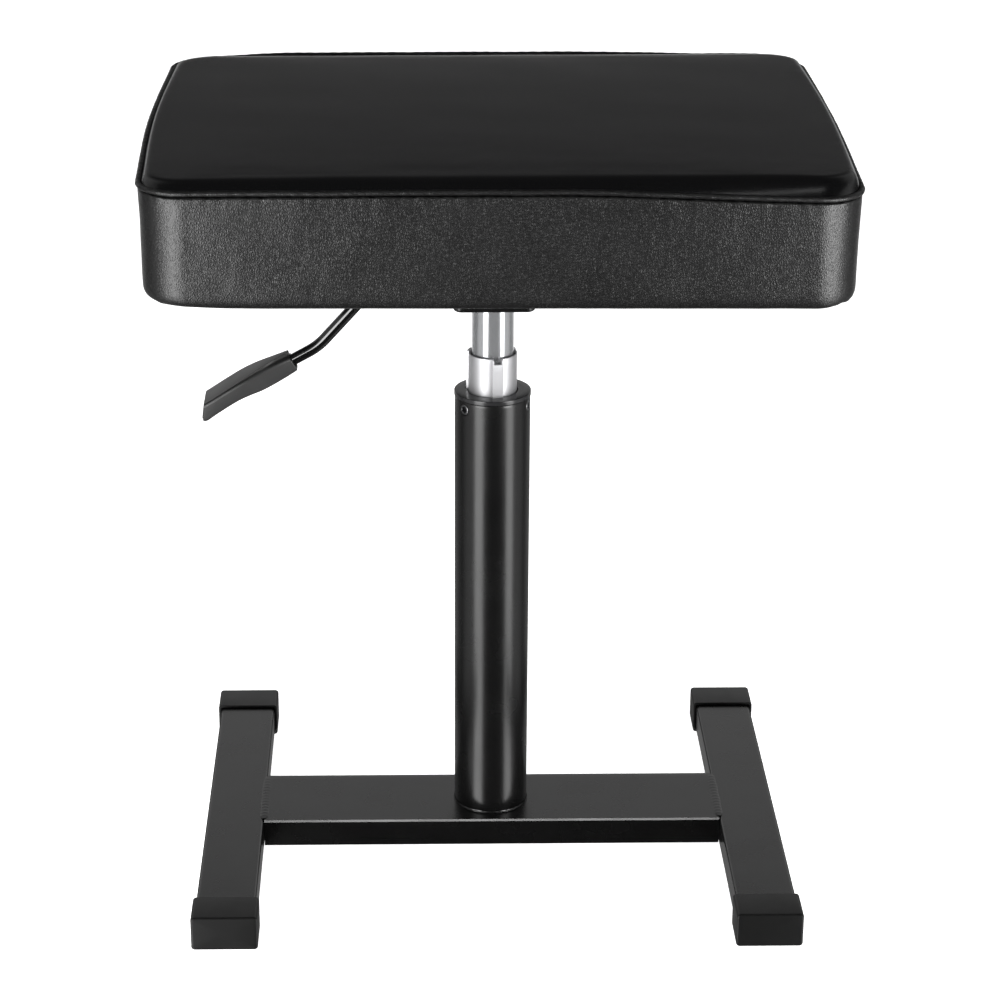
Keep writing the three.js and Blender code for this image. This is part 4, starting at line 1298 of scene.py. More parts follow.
@dataclass
class GasSpring:
    """The sliding part of the column: keyed sleeve with its notch, and the cylinder inside it."""

    column: Column
    bore_gap: float = 0.3
    mouth_chamfer: float = 1.1
    notch_width: float = 5.2
    notch_depth: float = 3.4
    cylinder_wall: float = 1.5
    taper_length: float = 21.0
    taper_top_radius: float = 13.3
    pin_hole: float = 4.2
    head_thickness: float = 4.0

    def build(self) -> None:
        """Makes the sleeve and the cylinder."""
        self.sleeve()
        self.cylinder()

    def sleeve(self) -> None:
        """Makes the extruded sleeve: keyed outside, round inside, cut square but for the notch.

        The upper end is a function of the angle: it lies lower within the notch, whose two sides are
        each a short steep step between neighbouring columns.
        """
        box = Extent.of("keyed_sleeve")
        key = self.column.key_angles()[0]
        half = math.degrees(self.notch_width / 2 / (self.column.sleeve_radius + self.column.key_rise))
        steps = np.array([0.35, 0.1, -0.1])
        cuts = np.radians(np.concatenate([-half - steps, half + steps])) + key
        angles = np.unique(np.round(np.concatenate([self.column.fine_angles(), cuts % (2 * np.pi)]), 6))
        inside = smooth_step((half - np.abs(np.degrees(signed_turn(angles, key)))) / 0.2 + 0.5)
        top = box.high[2] - self.notch_depth * inside
        outer = self.column.keyed_radius(angles, 0.0)
        bore = Extent.of("gas_cylinder").size[0] / 2 + self.bore_gap
        mouth = self.mouth_chamfer * (1 - inside)
        bottom = box.low[2]
        stages = [
            (outer - 0.4, bottom),
            (outer, bottom + 0.4),
            (outer, bottom * 0.5 + top * 0.5),
            (outer, top - 6.0),
            (outer, top - 0.45),
            (outer - 0.1, top - 0.14),
            (outer - 0.42, top),
            (bore + mouth + 0.02, top),
            (bore + mouth * 0.75, top - 0.15 - mouth * 0.3),
            (bore, top - 0.2 - mouth * 1.4),
            (bore, top - 6.0),
            (bore, bottom),
        ]
        rows = [polar(radius, angles, height) for radius, height in stages]
        patch = Patch(np.stack(rows), closed=True)
        Piece("keyed_sleeve", Body.SEAT, Slot.SLEEVE, [patch], sharp_degrees=30).place()

    def cylinder(self) -> None:
        """Makes the pressure tube, turned about Z, with its taper and head."""
        box = Extent.of("gas_cylinder")
        radius = box.size[0] / 2
        bore = radius - self.cylinder_wall
        low = box.low[2]
        top = box.high[2]
        taper = top - self.taper_length
        head = top - self.head_thickness
        crest = self.taper_top_radius
        corners = [(bore, low), (radius, low), (radius, taper), (crest, top), (self.pin_hole, top)]
        corners += [(self.pin_hole, head), (crest - self.cylinder_wall, head), (bore, taper)]
        profile = soften(corners, [0, 0.8, 3, 0.8, 0.4, 0.3, 1, 1])
        patch = Patch(turned(profile, circle(160)), closed=True)
        Piece("gas_cylinder", Body.SEAT, Slot.CYLINDER, [patch]).place()


@dataclass
class Mechanism:
    """The release box under the seat: pressed housing, seat plate, flanged bolts and pivot pin."""

    housing_wall: float = 2.0
    housing_corner: float = 6.0
    housing_edge: float = 2.6
    hole_gap: float = 0.3
    rod_radius: float = 4.0
    slot_depth: float = 18.0
    slot_width: float = 13.0
    plate_thickness: float = 2.5
    plate_corner: float = 9.0
    bend_radius: float = 3.5
    bolt_across: float = 10.0
    bolt_flange: float = 14.0
    bolt_radius: float = 3.0
    head_height: float = 4.4
    pin_radius: float = 2.5
    pin_head: float = 1.6

    def build(self) -> None:
        """Makes all visible pieces of the mechanism."""
        self.housing()
        self.seat_plate()
        for number in (1, 2, 3, 4):
            self.bolt(f"seat_bolt_{number}")
        self.pivot_pin()

    def housing(self) -> None:
        """Makes the pressed housing: rings of a rounded rectangle from its rim down round its floor.

        The floor's rings change from the rounded rectangle to the circle of the cylinder's hole along
        rays from the middle. The lever's slot is left out of the left-hand wall and gets its own rim.
        The columns of that wall are moved along it so that two of them run down the slot's sides.
        """
        box = Extent.of("release_housing")
        half = box.size[:2] / 2
        slot_middle = Extent.of("lever_rod").high[2] - self.rod_radius
        slot_low = slot_middle - self.slot_depth / 2
        slot_high = slot_middle + self.slot_depth / 2
        side_steps = 16
        even = 6 / side_steps
        loop = Loop.rounded(20, side_steps, 8)
        share = self.slot_width / (box.size[1] - 2 * self.housing_corner)
        moved = np.sign(loop.along) * np.interp(np.abs(loop.along), [0, even, 1], [0, share, 1])
        left_side = (loop.across == -1) & (np.abs(loop.along) < 1)
        loop = Loop(loop.across, np.where(left_side, moved, loop.along), loop.angle)
        hole = Extent.of("gas_cylinder").size[0] / 2 + self.hole_gap
        levels = [box.high[2], box.low[2] + 8.0, box.low[2] + 14.0]
        heights = np.unique(np.concatenate([np.linspace(slot_low, slot_high, 7), levels]))[::-1]
        arc = np.linspace(0, np.pi / 2, 7)
        grids = []
        for depth in (0.0, self.housing_wall):
            edge = self.housing_edge - depth / 2
            floor = box.low[2] + depth
            insets = np.concatenate([np.zeros(len(heights)), edge * (1 - np.cos(arc))]) + depth
            sizes = [(half[0] - inset, half[1] - inset, self.housing_corner - inset) for inset in insets]
            rings = [loop.ring(*size) for size in sizes]
            rim = rings[-1] / np.linalg.norm(rings[-1], axis=1, keepdims=True) * hole
            rings += [rings[-1] * (1 - part) + rim * part for part in (0.5, 0.9, 1.0)]
            levels = np.concatenate([heights, floor + edge * (1 - np.sin(arc)), [floor] * 3])
            grids.append(at_height(np.stack(rings), levels[:, None]))
        low = int(np.argmin(np.abs(heights - slot_high)))
        high = int(np.argmin(np.abs(heights - slot_low)))
        columns = np.flatnonzero(left_side & (np.abs(loop.along) <= share + 1e-6))
        first, last = int(columns[0]), int(columns[-1])
        keep = np.ones((len(grids[0]) - 1, len(loop.angle)), bool)
        keep[low:high, first:last] = False
        patches = [Patch(grid, keep=keep) for grid in grids]
        patches.append(Patch(np.stack([edge_path(grid, (low, high), (first, last)) for grid in grids])))
        patches += [Patch(np.stack([grid[row] for grid in grids])) for row in (0, -1)]
        Piece("release_housing", Body.SEAT, Slot.FRAME, patches).place()

    def seat_plate(self) -> None:
        """Makes the seat plate: a flat blank, bent down along two lines at front and back."""
        box = Extent.of("seat_plate")
        bend = self.bend_radius
        arc = bend * np.pi / 2
        bend_line = box.size[1] / 2 - bend
        blank = bend_line + arc + box.size[2] - bend
        steps = (40, 36)
        insets = np.array([0.0, 0.5, 1.2, 2.4, 4.5, 7.0, self.plate_corner])
        half = (box.size[0] / 2, blank)
        rings, inner = filled(Loop.rounded(*steps, 8), steps, half, self.plate_corner, insets)

        def bent(flat: Array, depth: float) -> Array:
            """Bends the blank: beyond the line a point goes round an arc and then straight down.

            Args:
                flat: Points of the blank as X and Y.
                depth: Their depth below its outer face.

            Returns:
                The bent sheet's points.
            """
            aside = np.abs(flat[..., 1])
            over = np.clip(aside - bend_line, 0, None)
            turn = np.clip(over / bend, 0, np.pi / 2)
            out = np.minimum(aside, bend_line) + (bend - depth) * np.sin(turn)
            down = bend - (bend - depth) * np.cos(turn) + np.clip(over - arc, 0, None)
            return np.stack([flat[..., 0], np.sign(flat[..., 1]) * out, box.high[2] - down], axis=-1)

        patches = []
        for depth in (0.0, self.plate_thickness):
            patches += [Patch(bent(rings, depth)), Patch(bent(inner, depth), around=False)]
        patches.append(Patch(np.stack([patches[0].points[0], patches[2].points[0]])))
        Piece("seat_plate", Body.SEAT, Slot.FRAME, patches).place()

    def bolt(self, node: str) -> None:
        """Makes one flanged bolt: a turned profile whose head rows follow a hexagon.

        Args:
            node: The construction node.
        """
        box = Extent.of(node)
        angles = circle(96)
        head = self.bolt_across / 2
        flange = self.bolt_flange / 2
        shank = self.bolt_radius
        low = box.low[2]
        top = box.high[2]
        seat = low + self.head_height
        corners = [(0, low + 0.3), (head * 0.72, low + 0.3), (head * 0.86, low), (head, low + 0.9)]
        corners += [(head, seat - 0.3), (flange, seat + 0.5), (flange, seat + 1.3), (shank, seat + 1.3)]
        corners += [(shank, top), (0, top)]
        profile = soften(corners, [0, 0.2, 0.3, 0.4, 0.5, 0.3, 0.2, 0.3, 0.7, 0], 4)
        below_flange = smooth_step((seat + 0.1 - profile[:, 1:]) / 0.5)
        six_sided = below_flange * smooth_step((profile[:, :1] - 3.7) / 0.8)
        points = turned(profile, angles, 1 + six_sided * (hexagonal(angles) - 1))
        Piece(node, Body.SEAT, Slot.ZINC, [Patch(points + (box.centre[0], box.centre[1], 0))]).place()

    def pivot_pin(self) -> None:
        """Makes the pivot pin with its domed head, along Y through the housing."""
        box = Extent.of("lever_pivot_pin")
        head = box.size[0] / 2
        shank = self.pin_radius
        under = self.pin_head
        length = box.size[1]
        corners = [(0, 0), (head, 0.2), (head, under), (shank, under), (shank, length), (0, length)]
        profile = soften(corners, [0, 1.1, 0.2, 0.2, 0.5, 0])
        axes = [(1, 0, 0), (0, 0, 1), (0, 1, 0)]
        points = placed(turned(profile, circle(48)), axes, (box.centre[0], box.low[1], box.centre[2]))
        Piece("lever_pivot_pin", Body.SEAT, Slot.ZINC, [Patch(points)]).place()


@dataclass
class Lever:
    """The height lever: bent round rod and its moulded paddle.

    Attributes:
        paddle_stations: Places along the paddle. Each has its share of the length, half the plate's and
            half the body's width, the top's and the underside's height over the rod's axis, and the
            groove's height.
    """

    rod_radius: float = 4.0
    inner_end: float = -6.0
    run_out: float = 54.0
    second_leg: float = 84.3
    third_leg: float = 20.1
    grip_depth: float = 30.0
    first_slope: float = 48.0
    second_slope: float = 29.0
    first_bend: float = 22.0
    second_bend: float = 44.0
    paddle_length: float = 65.2
    edge_radius: float = 2.4
    ridge_radius: float = 0.4
    tip_radius: float = 3.4
    lip_thickness: float = 0.5
    groove_depth: float = 1.7
    rod_recess: float = 1.6
    paddle_shift: float = 0.9
    paddle_stations: tuple[tuple[float, ...], ...] = (
        (0.0, 3.0, 6.0, 7.2, -6.4, 3.0),
        (0.14, 4.6, 6.5, 8.0, -7.0, 3.0),
        (0.3, 8.2, 8.0, 8.4, -7.0, 2.6),
        (0.42, 10.8, 9.7, 8.4, -6.4, 2.1),
        (0.54, 12.4, 11.4, 8.2, -5.0, 1.6),
        (0.68, 13.2, 12.4, 7.6, -4.2, 1.1),
        (0.84, 13.4, 12.8, 6.8, -5.0, 0.8),
        (0.93, 13.2, 12.7, 6.4, -5.9, 0.7),
        (1.0, 12.9, 12.5, 6.2, -6.6, 0.6),
    )

    def build(self) -> None:
        """Makes the rod and the paddle."""
        self.rod()
        self.paddle()

    def corners(self) -> Array:
        """Gives the corners of the rod's centre line.

        Returns:
            Their X and Z, from the inner to the outer end.
        """
        slopes = np.radians([0.0, 0.0, self.first_slope, self.second_slope, self.second_slope])
        lengths = np.array([0.0, self.run_out, self.second_leg, self.third_leg, self.grip_depth])
        legs = -lengths[:, None] * np.column_stack([np.cos(slopes), np.sin(slopes)])
        start = np.array([self.inner_end, Extent.of("lever_rod").high[2] - self.rod_radius])
        return start + np.cumsum(legs, axis=0)

    def rod(self) -> None:
        """Makes the rod: a circle carried along the softened centre line, square to its direction."""
        first = self.first_bend * math.tan(math.radians(self.first_slope / 2))
        second = self.second_bend * math.tan(math.radians((self.first_slope - self.second_slope) / 2))
        line = soften(self.corners(), [0, first, second, 0.1, 0], 12)
        line = respaced(line, np.linspace(0, lengths_along(line)[-1], 150))
        ahead = np.gradient(line, axis=0)
        ahead /= np.linalg.norm(ahead, axis=1, keepdims=True)
        ends = np.concatenate([[0.0, 0.8, 0.95], np.ones(len(line) - 5), [0.9, 0.0]])
        turn = circle(40)
        radius = self.rod_radius * ends[:, None]
        x = line[:, :1] - ahead[:, 1:] * radius * np.cos(turn)
        z = line[:, 1:] + ahead[:, :1] * radius * np.cos(turn)
        points = np.stack([x, radius * np.sin(turn), z], axis=-1)
        Piece("lever_rod", Body.LEVER, Slot.LEVER, [Patch(points)]).place()

    def paddle_section(self, top: float, body: float, half_height: float, groove: float) -> Array:
        """Gives the paddle's outline square to its length.

        A flat plate ends in a crisp lip on either side. A deep groove runs under each lip, then the
        side of the body comes out again and goes down to a well rounded bottom corner.

        Args:
            top: Half the plate's width.
            body: Half the body's width.
            half_height: Half the thickness.
            groove: How high the groove is.

        Returns:
            The outline's points as width and height, once round.
        """
        root = min(top, body) - self.groove_depth
        lip = half_height - self.lip_thickness
        corners = [(0, half_height), (top, half_height), (top - 0.1, lip), (root, lip - 0.2)]
        corners += [(root, lip - groove * 0.6), (body - 0.7, lip - groove), (body, lip - groove - 1.3)]
        corners += [(body * 0.95, -half_height), (0, -half_height)]
        side = soften(corners, [0, self.ridge_radius, 0.15, 0.2, 0.3, 0.5, 1.2, self.edge_radius, 0], 4)
        return np.concatenate([side[:-1], (side[::-1] * (-1, 1))[:-1]])

    def paddle(self) -> None:
        """Makes the paddle: its section carried along the rod's slope, widening towards the tip.

        The plate's and the body's widths, the heights of top and bottom and the groove are smooth
        curves through a few stations. Towards the tip the sections lean over until the end stands
        upright, and the last ones lift their underside along a quarter circle.
        """
        stations = np.array(self.paddle_stations)
        sampled = smooth_sample(stations, np.linspace(0, len(stations) - 1, 90), around=False)
        share, top, body, high, low, groove = sampled.T[:, :, None]
        half = (high - low) / 2
        sizes = np.concatenate([top, body, half, np.maximum(groove, 0.5)], axis=1)
        sections = np.stack([self.paddle_section(*row) for row in sizes])
        slope = math.radians(self.second_slope)
        lean = smooth_step((share - 0.6) / 0.4) * math.tan(slope)
        along = -share * self.paddle_length + lean * (sections[..., 1] - half)
        past = np.clip((share - 1) * self.paddle_length / self.tip_radius + 1, 0, 1)
        lift = self.tip_radius * (1 - np.sqrt(1 - past**2)) * 0.9
        rise = sections[..., 1] + (high + low) / 2 + smooth_step(-sections[..., 1] / half) * lift
        local = np.stack([along, sections[..., 0], rise], axis=-1)
        rod_end = self.rounded_end(local[0], 1.0, 0.7, self.rod_recess)[::-1]
        tip = self.rounded_end(local[-1], -1.0, 1.0, 0.0)
        axes = [
            (math.cos(slope), 0, math.sin(slope)),
            (0, 1, 0),
            (-math.sin(slope), 0, math.cos(slope)),
        ]
        start = self.corners()[3]
        local = np.concatenate([rod_end, local[1:-1], tip])
        points = placed(local, axes, (start[0] + self.paddle_shift, 0, start[1]))
        Piece("lever_paddle", Body.LEVER, Slot.PADDLE, [Patch(points)], sharp_degrees=50).place()

    def rounded_end(self, section: Array, sign: float, ease: float, recess: float) -> Array:
        """Closes an end: the section shrinks to its middle over a rounded rim, and its face may sink in.

        The face lies in the plane that fits the outline best.

        Args:
            section: The end's outline.
            sign: The end's direction along the paddle.
            ease: How far the rounding reaches along the paddle.
            recess: How deep the face lies inside its rim.

        Returns:
            Rows from the whole outline to its middle.
        """
        scales = np.array([1.0, 0.975, 0.93, 0.86, 0.8, 0.76, 0.74, 0.4, 0.0])[:, None, None]
        bulge = ease * np.sqrt(1 - ((scales - 0.86).clip(0) / 0.14) ** 2)
        sunk = recess * smooth_step((0.84 - scales) / 0.08)
        middle = section.mean(axis=0)
        rows = middle + (section - middle) * scales
        plane = np.polyval(np.polyfit(section[:, 2], section[:, 0], 1), rows[..., 2])
        rows[..., 0] += (plane - rows[..., 0]) * smooth_step((1 - scales[..., 0]) / 0.14)
        return rows + (bulge - ease - sunk) * np.array([sign, 0.0, 0.0])


@dataclass
class Cushion:
    """The padded seat: sewn cover of top panel, side band and piping, dust cover and staples."""

    corner: float = 29.0
    left_swell: float = 4.2
    right_swell: float = 2.6
    back_lift: float = 2.9
    right_sag: float = 6.0
    piping_overhang: float = 1.0
    piping_diameter: float = 3.7
    seam_depth: float = 2.6
    seam_inset: float = 2.2
    cover_thickness: float = 1.1
    band_inset: float = 0.5
    band_taper: float = 1.0
    band_edge: float = 9.0
    turn_under: float = 26.0
    roll_width: float = 26.0
    side_roll: float = 4.5
    roll_bulge: float = 3.6
    crown_lift: float = 2.2
    crown_rise: float = 1.4
    edge_drop: float = 1.9
    edge_slant: float = 1.3
    corner_lift: float = 2.2
    crown_flatness: float = 2.4
    stitch_pitch: float = 8.2
    staple_inset: float = 5.0
    sides: tuple[int, int] = (24, 18)
    corner_steps: int = 4
    band_factor: int = 14
    top_factor: int = 8
    seed: int = 11
    move_limit: float = 0.12
    move_fade: float = 45.0
    half: Array = field(init=False)
    piping_top: float = field(init=False)
    bottom: float = field(init=False)
    crown_top: float = field(init=False)

    def __post_init__(self) -> None:
        """Reads the cushion's place and size from the frame."""
        piping = Extent.of("cover_piping")
        self.half = piping.size[:2] / 2
        self.piping_top = float(piping.high[2])
        self.bottom = float(Extent.of("cover_band").low[2])
        self.crown_top = float(Extent.of("cover_top").high[2])

    def build(self) -> None:
        """Makes all pieces of the cushion."""
        ring_moves, inner_moves, band_moves = self.stuffing()
        self.top_panel(ring_moves, inner_moves)
        self.side_band(band_moves)
        self.piping()
        self.dust_cover()
        self.staples()

    def loop(self, factor: int) -> Loop:
        """Gives the outline's columns, with each coarse step divided by the factor."""
        return Loop.rounded(self.sides[0] * factor, self.sides[1] * factor, self.corner_steps * factor)

    def bulged(self, flat: Array) -> Array:
        """Lets the foam push the left and right sides out between the corners.

        The push is the square of one less the squared share of the way to a corner, and fades inwards
        with the distance from the middle. It is stronger on the left.

        Args:
            flat: Points as X and Y.

        Returns:
            The points after the push.
        """
        share = flat / self.half
        across = smooth_step((share[..., 0] + 1) / 2)
        strength = self.left_swell + (self.right_swell - self.left_swell) * across
        push = strength / self.half[0] * np.clip(1 - share[..., 1] ** 2, 0, 1) ** 2
        return flat * np.stack([1 + push, np.ones_like(push)], axis=-1)

    def edge_distance(self, flat: Array, inset: float) -> Array:
        """Gives the distance of points inside the outline from its edge, eased along the diagonals.

        Args:
            flat: Points as X and Y, before the sides are pushed out.
            inset: How far inside the piping's outer face the outline lies.

        Returns:
            The distances.
        """
        radius = self.corner - inset
        past = np.abs(flat) - (self.half - inset - radius)
        outside = np.linalg.norm(np.clip(past, 0, None), axis=-1)
        room = np.clip(-past, 1e-6, None)
        inner = (room**-3.0).sum(axis=-1) ** (-1 / 3.0)
        return radius - outside + np.where((past < 0).all(axis=-1), inner, 0)

    def crown(self, flat: Array, inset: float) -> Array:
        """Gives the height of the top panel.

        From the seam it rolls up over the foam's edge, steeply at first and ever more gently, as one
        less a power of the share of the roll that is left. It ends in a slightly crowned field.

        Args:
            flat: Points as X and Y, before the sides are pushed out.
            inset: How far inside the piping's outer face the seam lies.

        Returns:
            The heights.
        """
        distance = self.edge_distance(flat, inset)
        seam = self.seam_height() + self.seam_shift(flat)
        rise = self.crown_top + self.crown_lift - self.crown_rise - seam
        room = np.clip(self.half - np.abs(flat), 1e-3, None)
        to_front = room[..., 0] / room.sum(axis=-1)
        width = self.side_roll + (self.roll_width - self.side_roll) * to_front
        roll = 1 - np.clip(1 - distance / width, 0, 1) ** self.roll_bulge
        share = np.clip(np.abs(flat) / self.half, 0, 1)
        field_rise = self.crown_rise * np.prod(1 - share**self.crown_flatness, axis=-1)
        return seam + rise * roll + field_rise

    def seam_shift(self, flat: Array) -> Array:
        """Gives how far the seam lies above its plain height.

        It is drawn up along the back, except at the corners, and sags more and more towards the right,
        most at the front.

        Args:
            flat: Points as X and Y.

        Returns:
            The shifts along Z.
        """
        share = flat / self.half
        back = smooth_step((share[..., 1] - 0.2) / 0.75)
        between = smooth_step((share[..., 0] + 1) / 0.4) * smooth_step((1 - share[..., 0]) / 0.16)
        to_back = smooth_step((share[..., 1] + 1) / 2)
        sag = smooth_step((share[..., 0] - 0.1) / 0.9) * (1 - 0.6 * to_back)
        return self.back_lift * back * between - self.right_sag * sag

    def seam_height(self) -> float:
        """Gives the height at which the top panel meets the piping."""
        return self.piping_top - self.piping_diameter * 0.8

    def band_line(self) -> Array:
        """Gives the band's outer profile from the seam down and under the board.

        Returns:
            Its points as inset and height.
        """
        foot = self.band_inset + self.band_taper
        seam = self.piping_top - self.piping_diameter
        corners = [
            (self.band_inset + self.seam_depth, seam + 0.3),
            (self.band_inset, seam - 1.0),
            (self.band_inset + self.band_taper / 2, (seam + self.bottom) / 2),
            (foot, self.bottom),
            (foot + self.turn_under, self.bottom),
        ]
        return soften(corners, [0, 0.9, 20, self.band_edge, 0], 12)

    def band_grid(self, loop: Loop, line: Array) -> Array:
        """Carries a profile round the outline.

        Args:
            loop: The columns.
            line: The profile's points as inset and height.

        Returns:
            The grid.
        """
        rings = [
            loop.ring(*(self.half - inset), max(self.corner - inset, self.corner / 4)) for inset in line[:, 0]
        ]
        flats = self.bulged(np.stack(rings))
        heights = line[:, 1:]
        upper = np.clip((heights - self.bottom) / (self.seam_height() - self.bottom), 0, 1)
        return at_height(flats, heights + self.seam_shift(flats) * upper**2)

    def stuffing(self) -> list[Array]:
        """Lets a coarse cover swell under the foam's pressure and says how far each point moved.

        The cover's rings and inner grid are the coarse form of the top panel and the band. The seam and
        the underside are held, the rest is blown out as cloth, and each move is limited smoothly.

        Returns:
            The moves of the top's rings, the top's inner grid and the band's rings.
        """
        loop = self.loop(1)
        inset = self.seam_inset
        radius = self.corner - inset
        flats = filled(loop, self.sides, self.half - inset, radius, np.linspace(0, radius, 7))
        shapes = [at_height(self.bulged(flat), self.crown(flat, inset)) for flat in flats]
        line = self.band_line()
        face = lengths_along(line)[-1] - self.turn_under
        shapes.append(self.band_grid(loop, respaced(line, np.linspace(0, face, 12))))
        patches = [Patch(shape, around=place != 1) for place, shape in enumerate(shapes)]
        vertices, faces, joined = weld([*patches, Patch(np.stack([shapes[2][0], shapes[0][0]]))])
        moves = self.inflated(vertices, faces)
        LOG.info("stuffing moved the cover by up to %.1f mm before its limit", np.abs(moves).max())
        size = np.maximum(np.linalg.norm(moves, axis=-1, keepdims=True), 1e-6)
        moves = moves / size * self.move_limit * np.tanh(size / self.move_limit)
        parts = np.split(moves[joined], np.cumsum([shape.size // 3 for shape in shapes]))
        return [part.reshape(shape.shape) for part, shape in zip(parts, shapes)]

    def inflated(self, vertices: Array, faces: list[list[int]]) -> Array:
        """Runs the cloth on the coarse cover.

        Args:
            vertices: The cover's points.
            faces: Its faces.

        Returns:
            The moves of its points.
        """
        uneven = wavy_field(vertices, 70.0, self.seed)[:, None] * (0.0, 0.0, 0.5)
        mesh = bpy.data.meshes.new("stuffing_trial")
        mesh.from_pydata(((vertices + uneven) * MM).tolist(), [], faces)
        turn_outwards(mesh)
        trial = bpy.data.objects.new("stuffing_trial", mesh)
        scene = bpy.context.scene
        scene.collection.objects.link(trial)
        held = trial.vertex_groups.new(name="held")
        above_seam = vertices[:, 2] - self.seam_height() - self.seam_shift(vertices[:, :2])
        fixed = (np.abs(above_seam) < 1.6) | (vertices[:, 2] < self.bottom + 1.0)
        held.add(np.flatnonzero(fixed).tolist(), 1.0, "REPLACE")
        cloth = trial.modifiers.new("stuffing", "CLOTH")
        wanted = {
            "quality": 6,
            "mass": 0.4,
            "tension_stiffness": 40,
            "compression_stiffness": 40,
            "bending_stiffness": 4,
            "use_pressure": True,
            "uniform_pressure_force": 4,
            "vertex_group_mass": held.name,
        }
        for name, value in wanted.items():
            setattr(cloth.settings, name, value)
        cloth.settings.effector_weights.gravity = 0
        cloth.collision_settings.use_collision = False
        for frame_number in range(1, 21):
            scene.frame_set(frame_number)
        shaped = trial.evaluated_get(bpy.context.evaluated_depsgraph_get()).data
        moved = np.zeros(len(vertices) * 3, np.float32)
        shaped.vertices.foreach_get("co", moved)
        scene.frame_set(1)
        bpy.data.objects.remove(trial)
        return moved.reshape(-1, 3) / MM - vertices

    def top_panel(self, ring_moves: Array, inner_moves: Array) -> None:
        """Makes the top panel: the crown over rings and grid, with its underside and rim.

        The coarse moves of the stuffing are carried over by cubics through them, the stitches dent the
        edge, and a slow swell keeps the field from being perfectly even. The last ring takes the points
        of the inner grid's border, so that the two close.

        Args:
            ring_moves: The stuffing's moves of the coarse rings.
            inner_moves: Its moves of the coarse inner grid.
        """
        factor = self.top_factor
        loop = self.loop(factor)
        sides = (self.sides[0] * factor, self.sides[1] * factor)
        inset = self.seam_inset
        full = self.corner - inset
        insets = np.concatenate([np.linspace(0, 3, 6)[:-1], np.linspace(3, full, 18)])
        flats = filled(loop, sides, self.half - inset, full, insets)
        across = np.arange(sides[0] + 1) / factor
        along = np.arange(sides[1] + 1) / factor
        rows = insets / full * (len(ring_moves) - 1)
        moves = [
            smooth_grid(ring_moves, rows, np.arange(len(loop.angle)) / factor, True),
            smooth_grid(inner_moves, along, across, False),
        ]
        upper = []
        for flat, move in zip(flats, moves):
            points = at_height(self.bulged(flat), self.crown(flat, inset))
            depth = self.edge_distance(flat, inset)
            calm = smooth_step(depth / 6)
            points += move * smooth_step(depth / self.move_fade)[..., None]
            points[..., 2] += 0.06 * wavy_field(points, 75.0, self.seed + 1) * calm
            points[..., 2] += 0.012 * wavy_field(points, 16.0, self.seed + 2) * calm
            upper.append(points)
        rings, inner = upper
        rings[..., 2] -= 0.2 * self.stitch_dents(*lengths_round(flats[0][0]), insets)
        border_rows = np.rint((loop.along + 1) / 2 * sides[1]).astype(int)
        border_columns = np.rint((loop.across + 1) / 2 * sides[0]).astype(int)
        rings[-1] = inner[border_rows, border_columns]
        below = (0, 0, self.cover_thickness)
        lower_rings = rings[[0, 8, -1]] - below
        patches = [
            Patch(rings),
            Patch(inner, around=False),
            Patch(lower_rings),
            Patch(inner - below, around=False),
            Patch(np.stack([rings[0], lower_rings[0]])),
        ]
        piece = Piece("cover_top", Body.SEAT, Slot.TOP, patches, ("seat_foam",), 60).place()

    def stitch_dents(self, around: Array, length: float, depth: Array) -> Array:
        """Gives how deep the stitches and the thread's pull dent the cloth beside the seam.

        Each stitch makes a narrow pit that fades within a few millimetres. Between them run longer
        tension folds at uneven distances, which fade more slowly.

        Args:
            around: Distances along the seam.
            length: The seam's whole length.
            depth: Distances from the seam.

        Returns:
            The dents, by depth and place along the seam.
        """
        pitch = length / round(length / self.stitch_pitch)
        place = (around / pitch + 0.5) % 1 - 0.5
        uneven = 0.75 + 0.35 * wander(around, length, 31.0, self.seed + 5)
        pits = np.exp(-((place * pitch / 1.5) ** 2)) * uneven
        folds = np.clip(wander(around, length, 17.0, self.seed + 6), -1, None)
        depth = depth[:, None]
        return 0.9 * pits * np.exp(-depth / 2.4) + 0.16 * folds * np.exp(-depth / 6.0)

    def side_band(self, coarse_moves: Array) -> None:
        """Makes the side band with its turned-under edge, as a closed skin.

        Rows follow the profile, close together below the seam. Each point moves along the profile's own
        normal by the stitch dents, the folds, a slow swell and, round the corners of the underside, by
        pleats that take up the spare cloth.

        Args:
            coarse_moves: The stuffing's moves of the coarse band.
        """
        loop = self.loop(self.band_factor)
        line = self.band_line()
        edge = lengths_along(line)[-1] - self.turn_under
        near = np.linspace(0, 9, 16)
        under = edge + np.linspace(0, self.turn_under, 12)
        places = np.concatenate([near, np.linspace(9, edge, 30)[1:], under[1:]])
        outer = respaced(line, places)
        grid = self.band_grid(loop, outer)
        grid[..., 2] += self.edge_shift(grid)
        tangent = np.gradient(outer, places, axis=0)
        tangent /= np.linalg.norm(tangent, axis=1, keepdims=True)
        normals = at_height(loop.outward() * -tangent[:, 1:, None], -tangent[:, :1])
        face = 1 - smooth_step((places - edge) / 10)[:, None]
        calm = smooth_step(places / 5)[:, None] * face
        push = self.pleats(loop, places - edge) - self.stitch_dents(*lengths_round(grid[3]), places) * face
        push += 0.14 * wavy_field(grid, 48.0, self.seed + 3) * calm
        push += 0.04 * wavy_field(grid, 16.0, self.seed + 4) * calm
        rows = np.interp(places, np.linspace(0, edge, len(coarse_moves)), np.arange(len(coarse_moves)))
        columns = np.arange(len(loop.angle)) / self.band_factor
        moves = smooth_grid(coarse_moves, rows, columns, True)
        skin = grid + normals * push[..., None] + moves * (calm * face)[..., None]
        skin[..., 2] = np.maximum(skin[..., 2], self.bottom - self.edge_drop - self.edge_slant)
        backs = [len(places) - 1, 44, 30, 16, 0]
        points = np.concatenate([skin, grid[backs] - normals[backs] * self.cover_thickness])
        patch = Patch(points, closed=True)
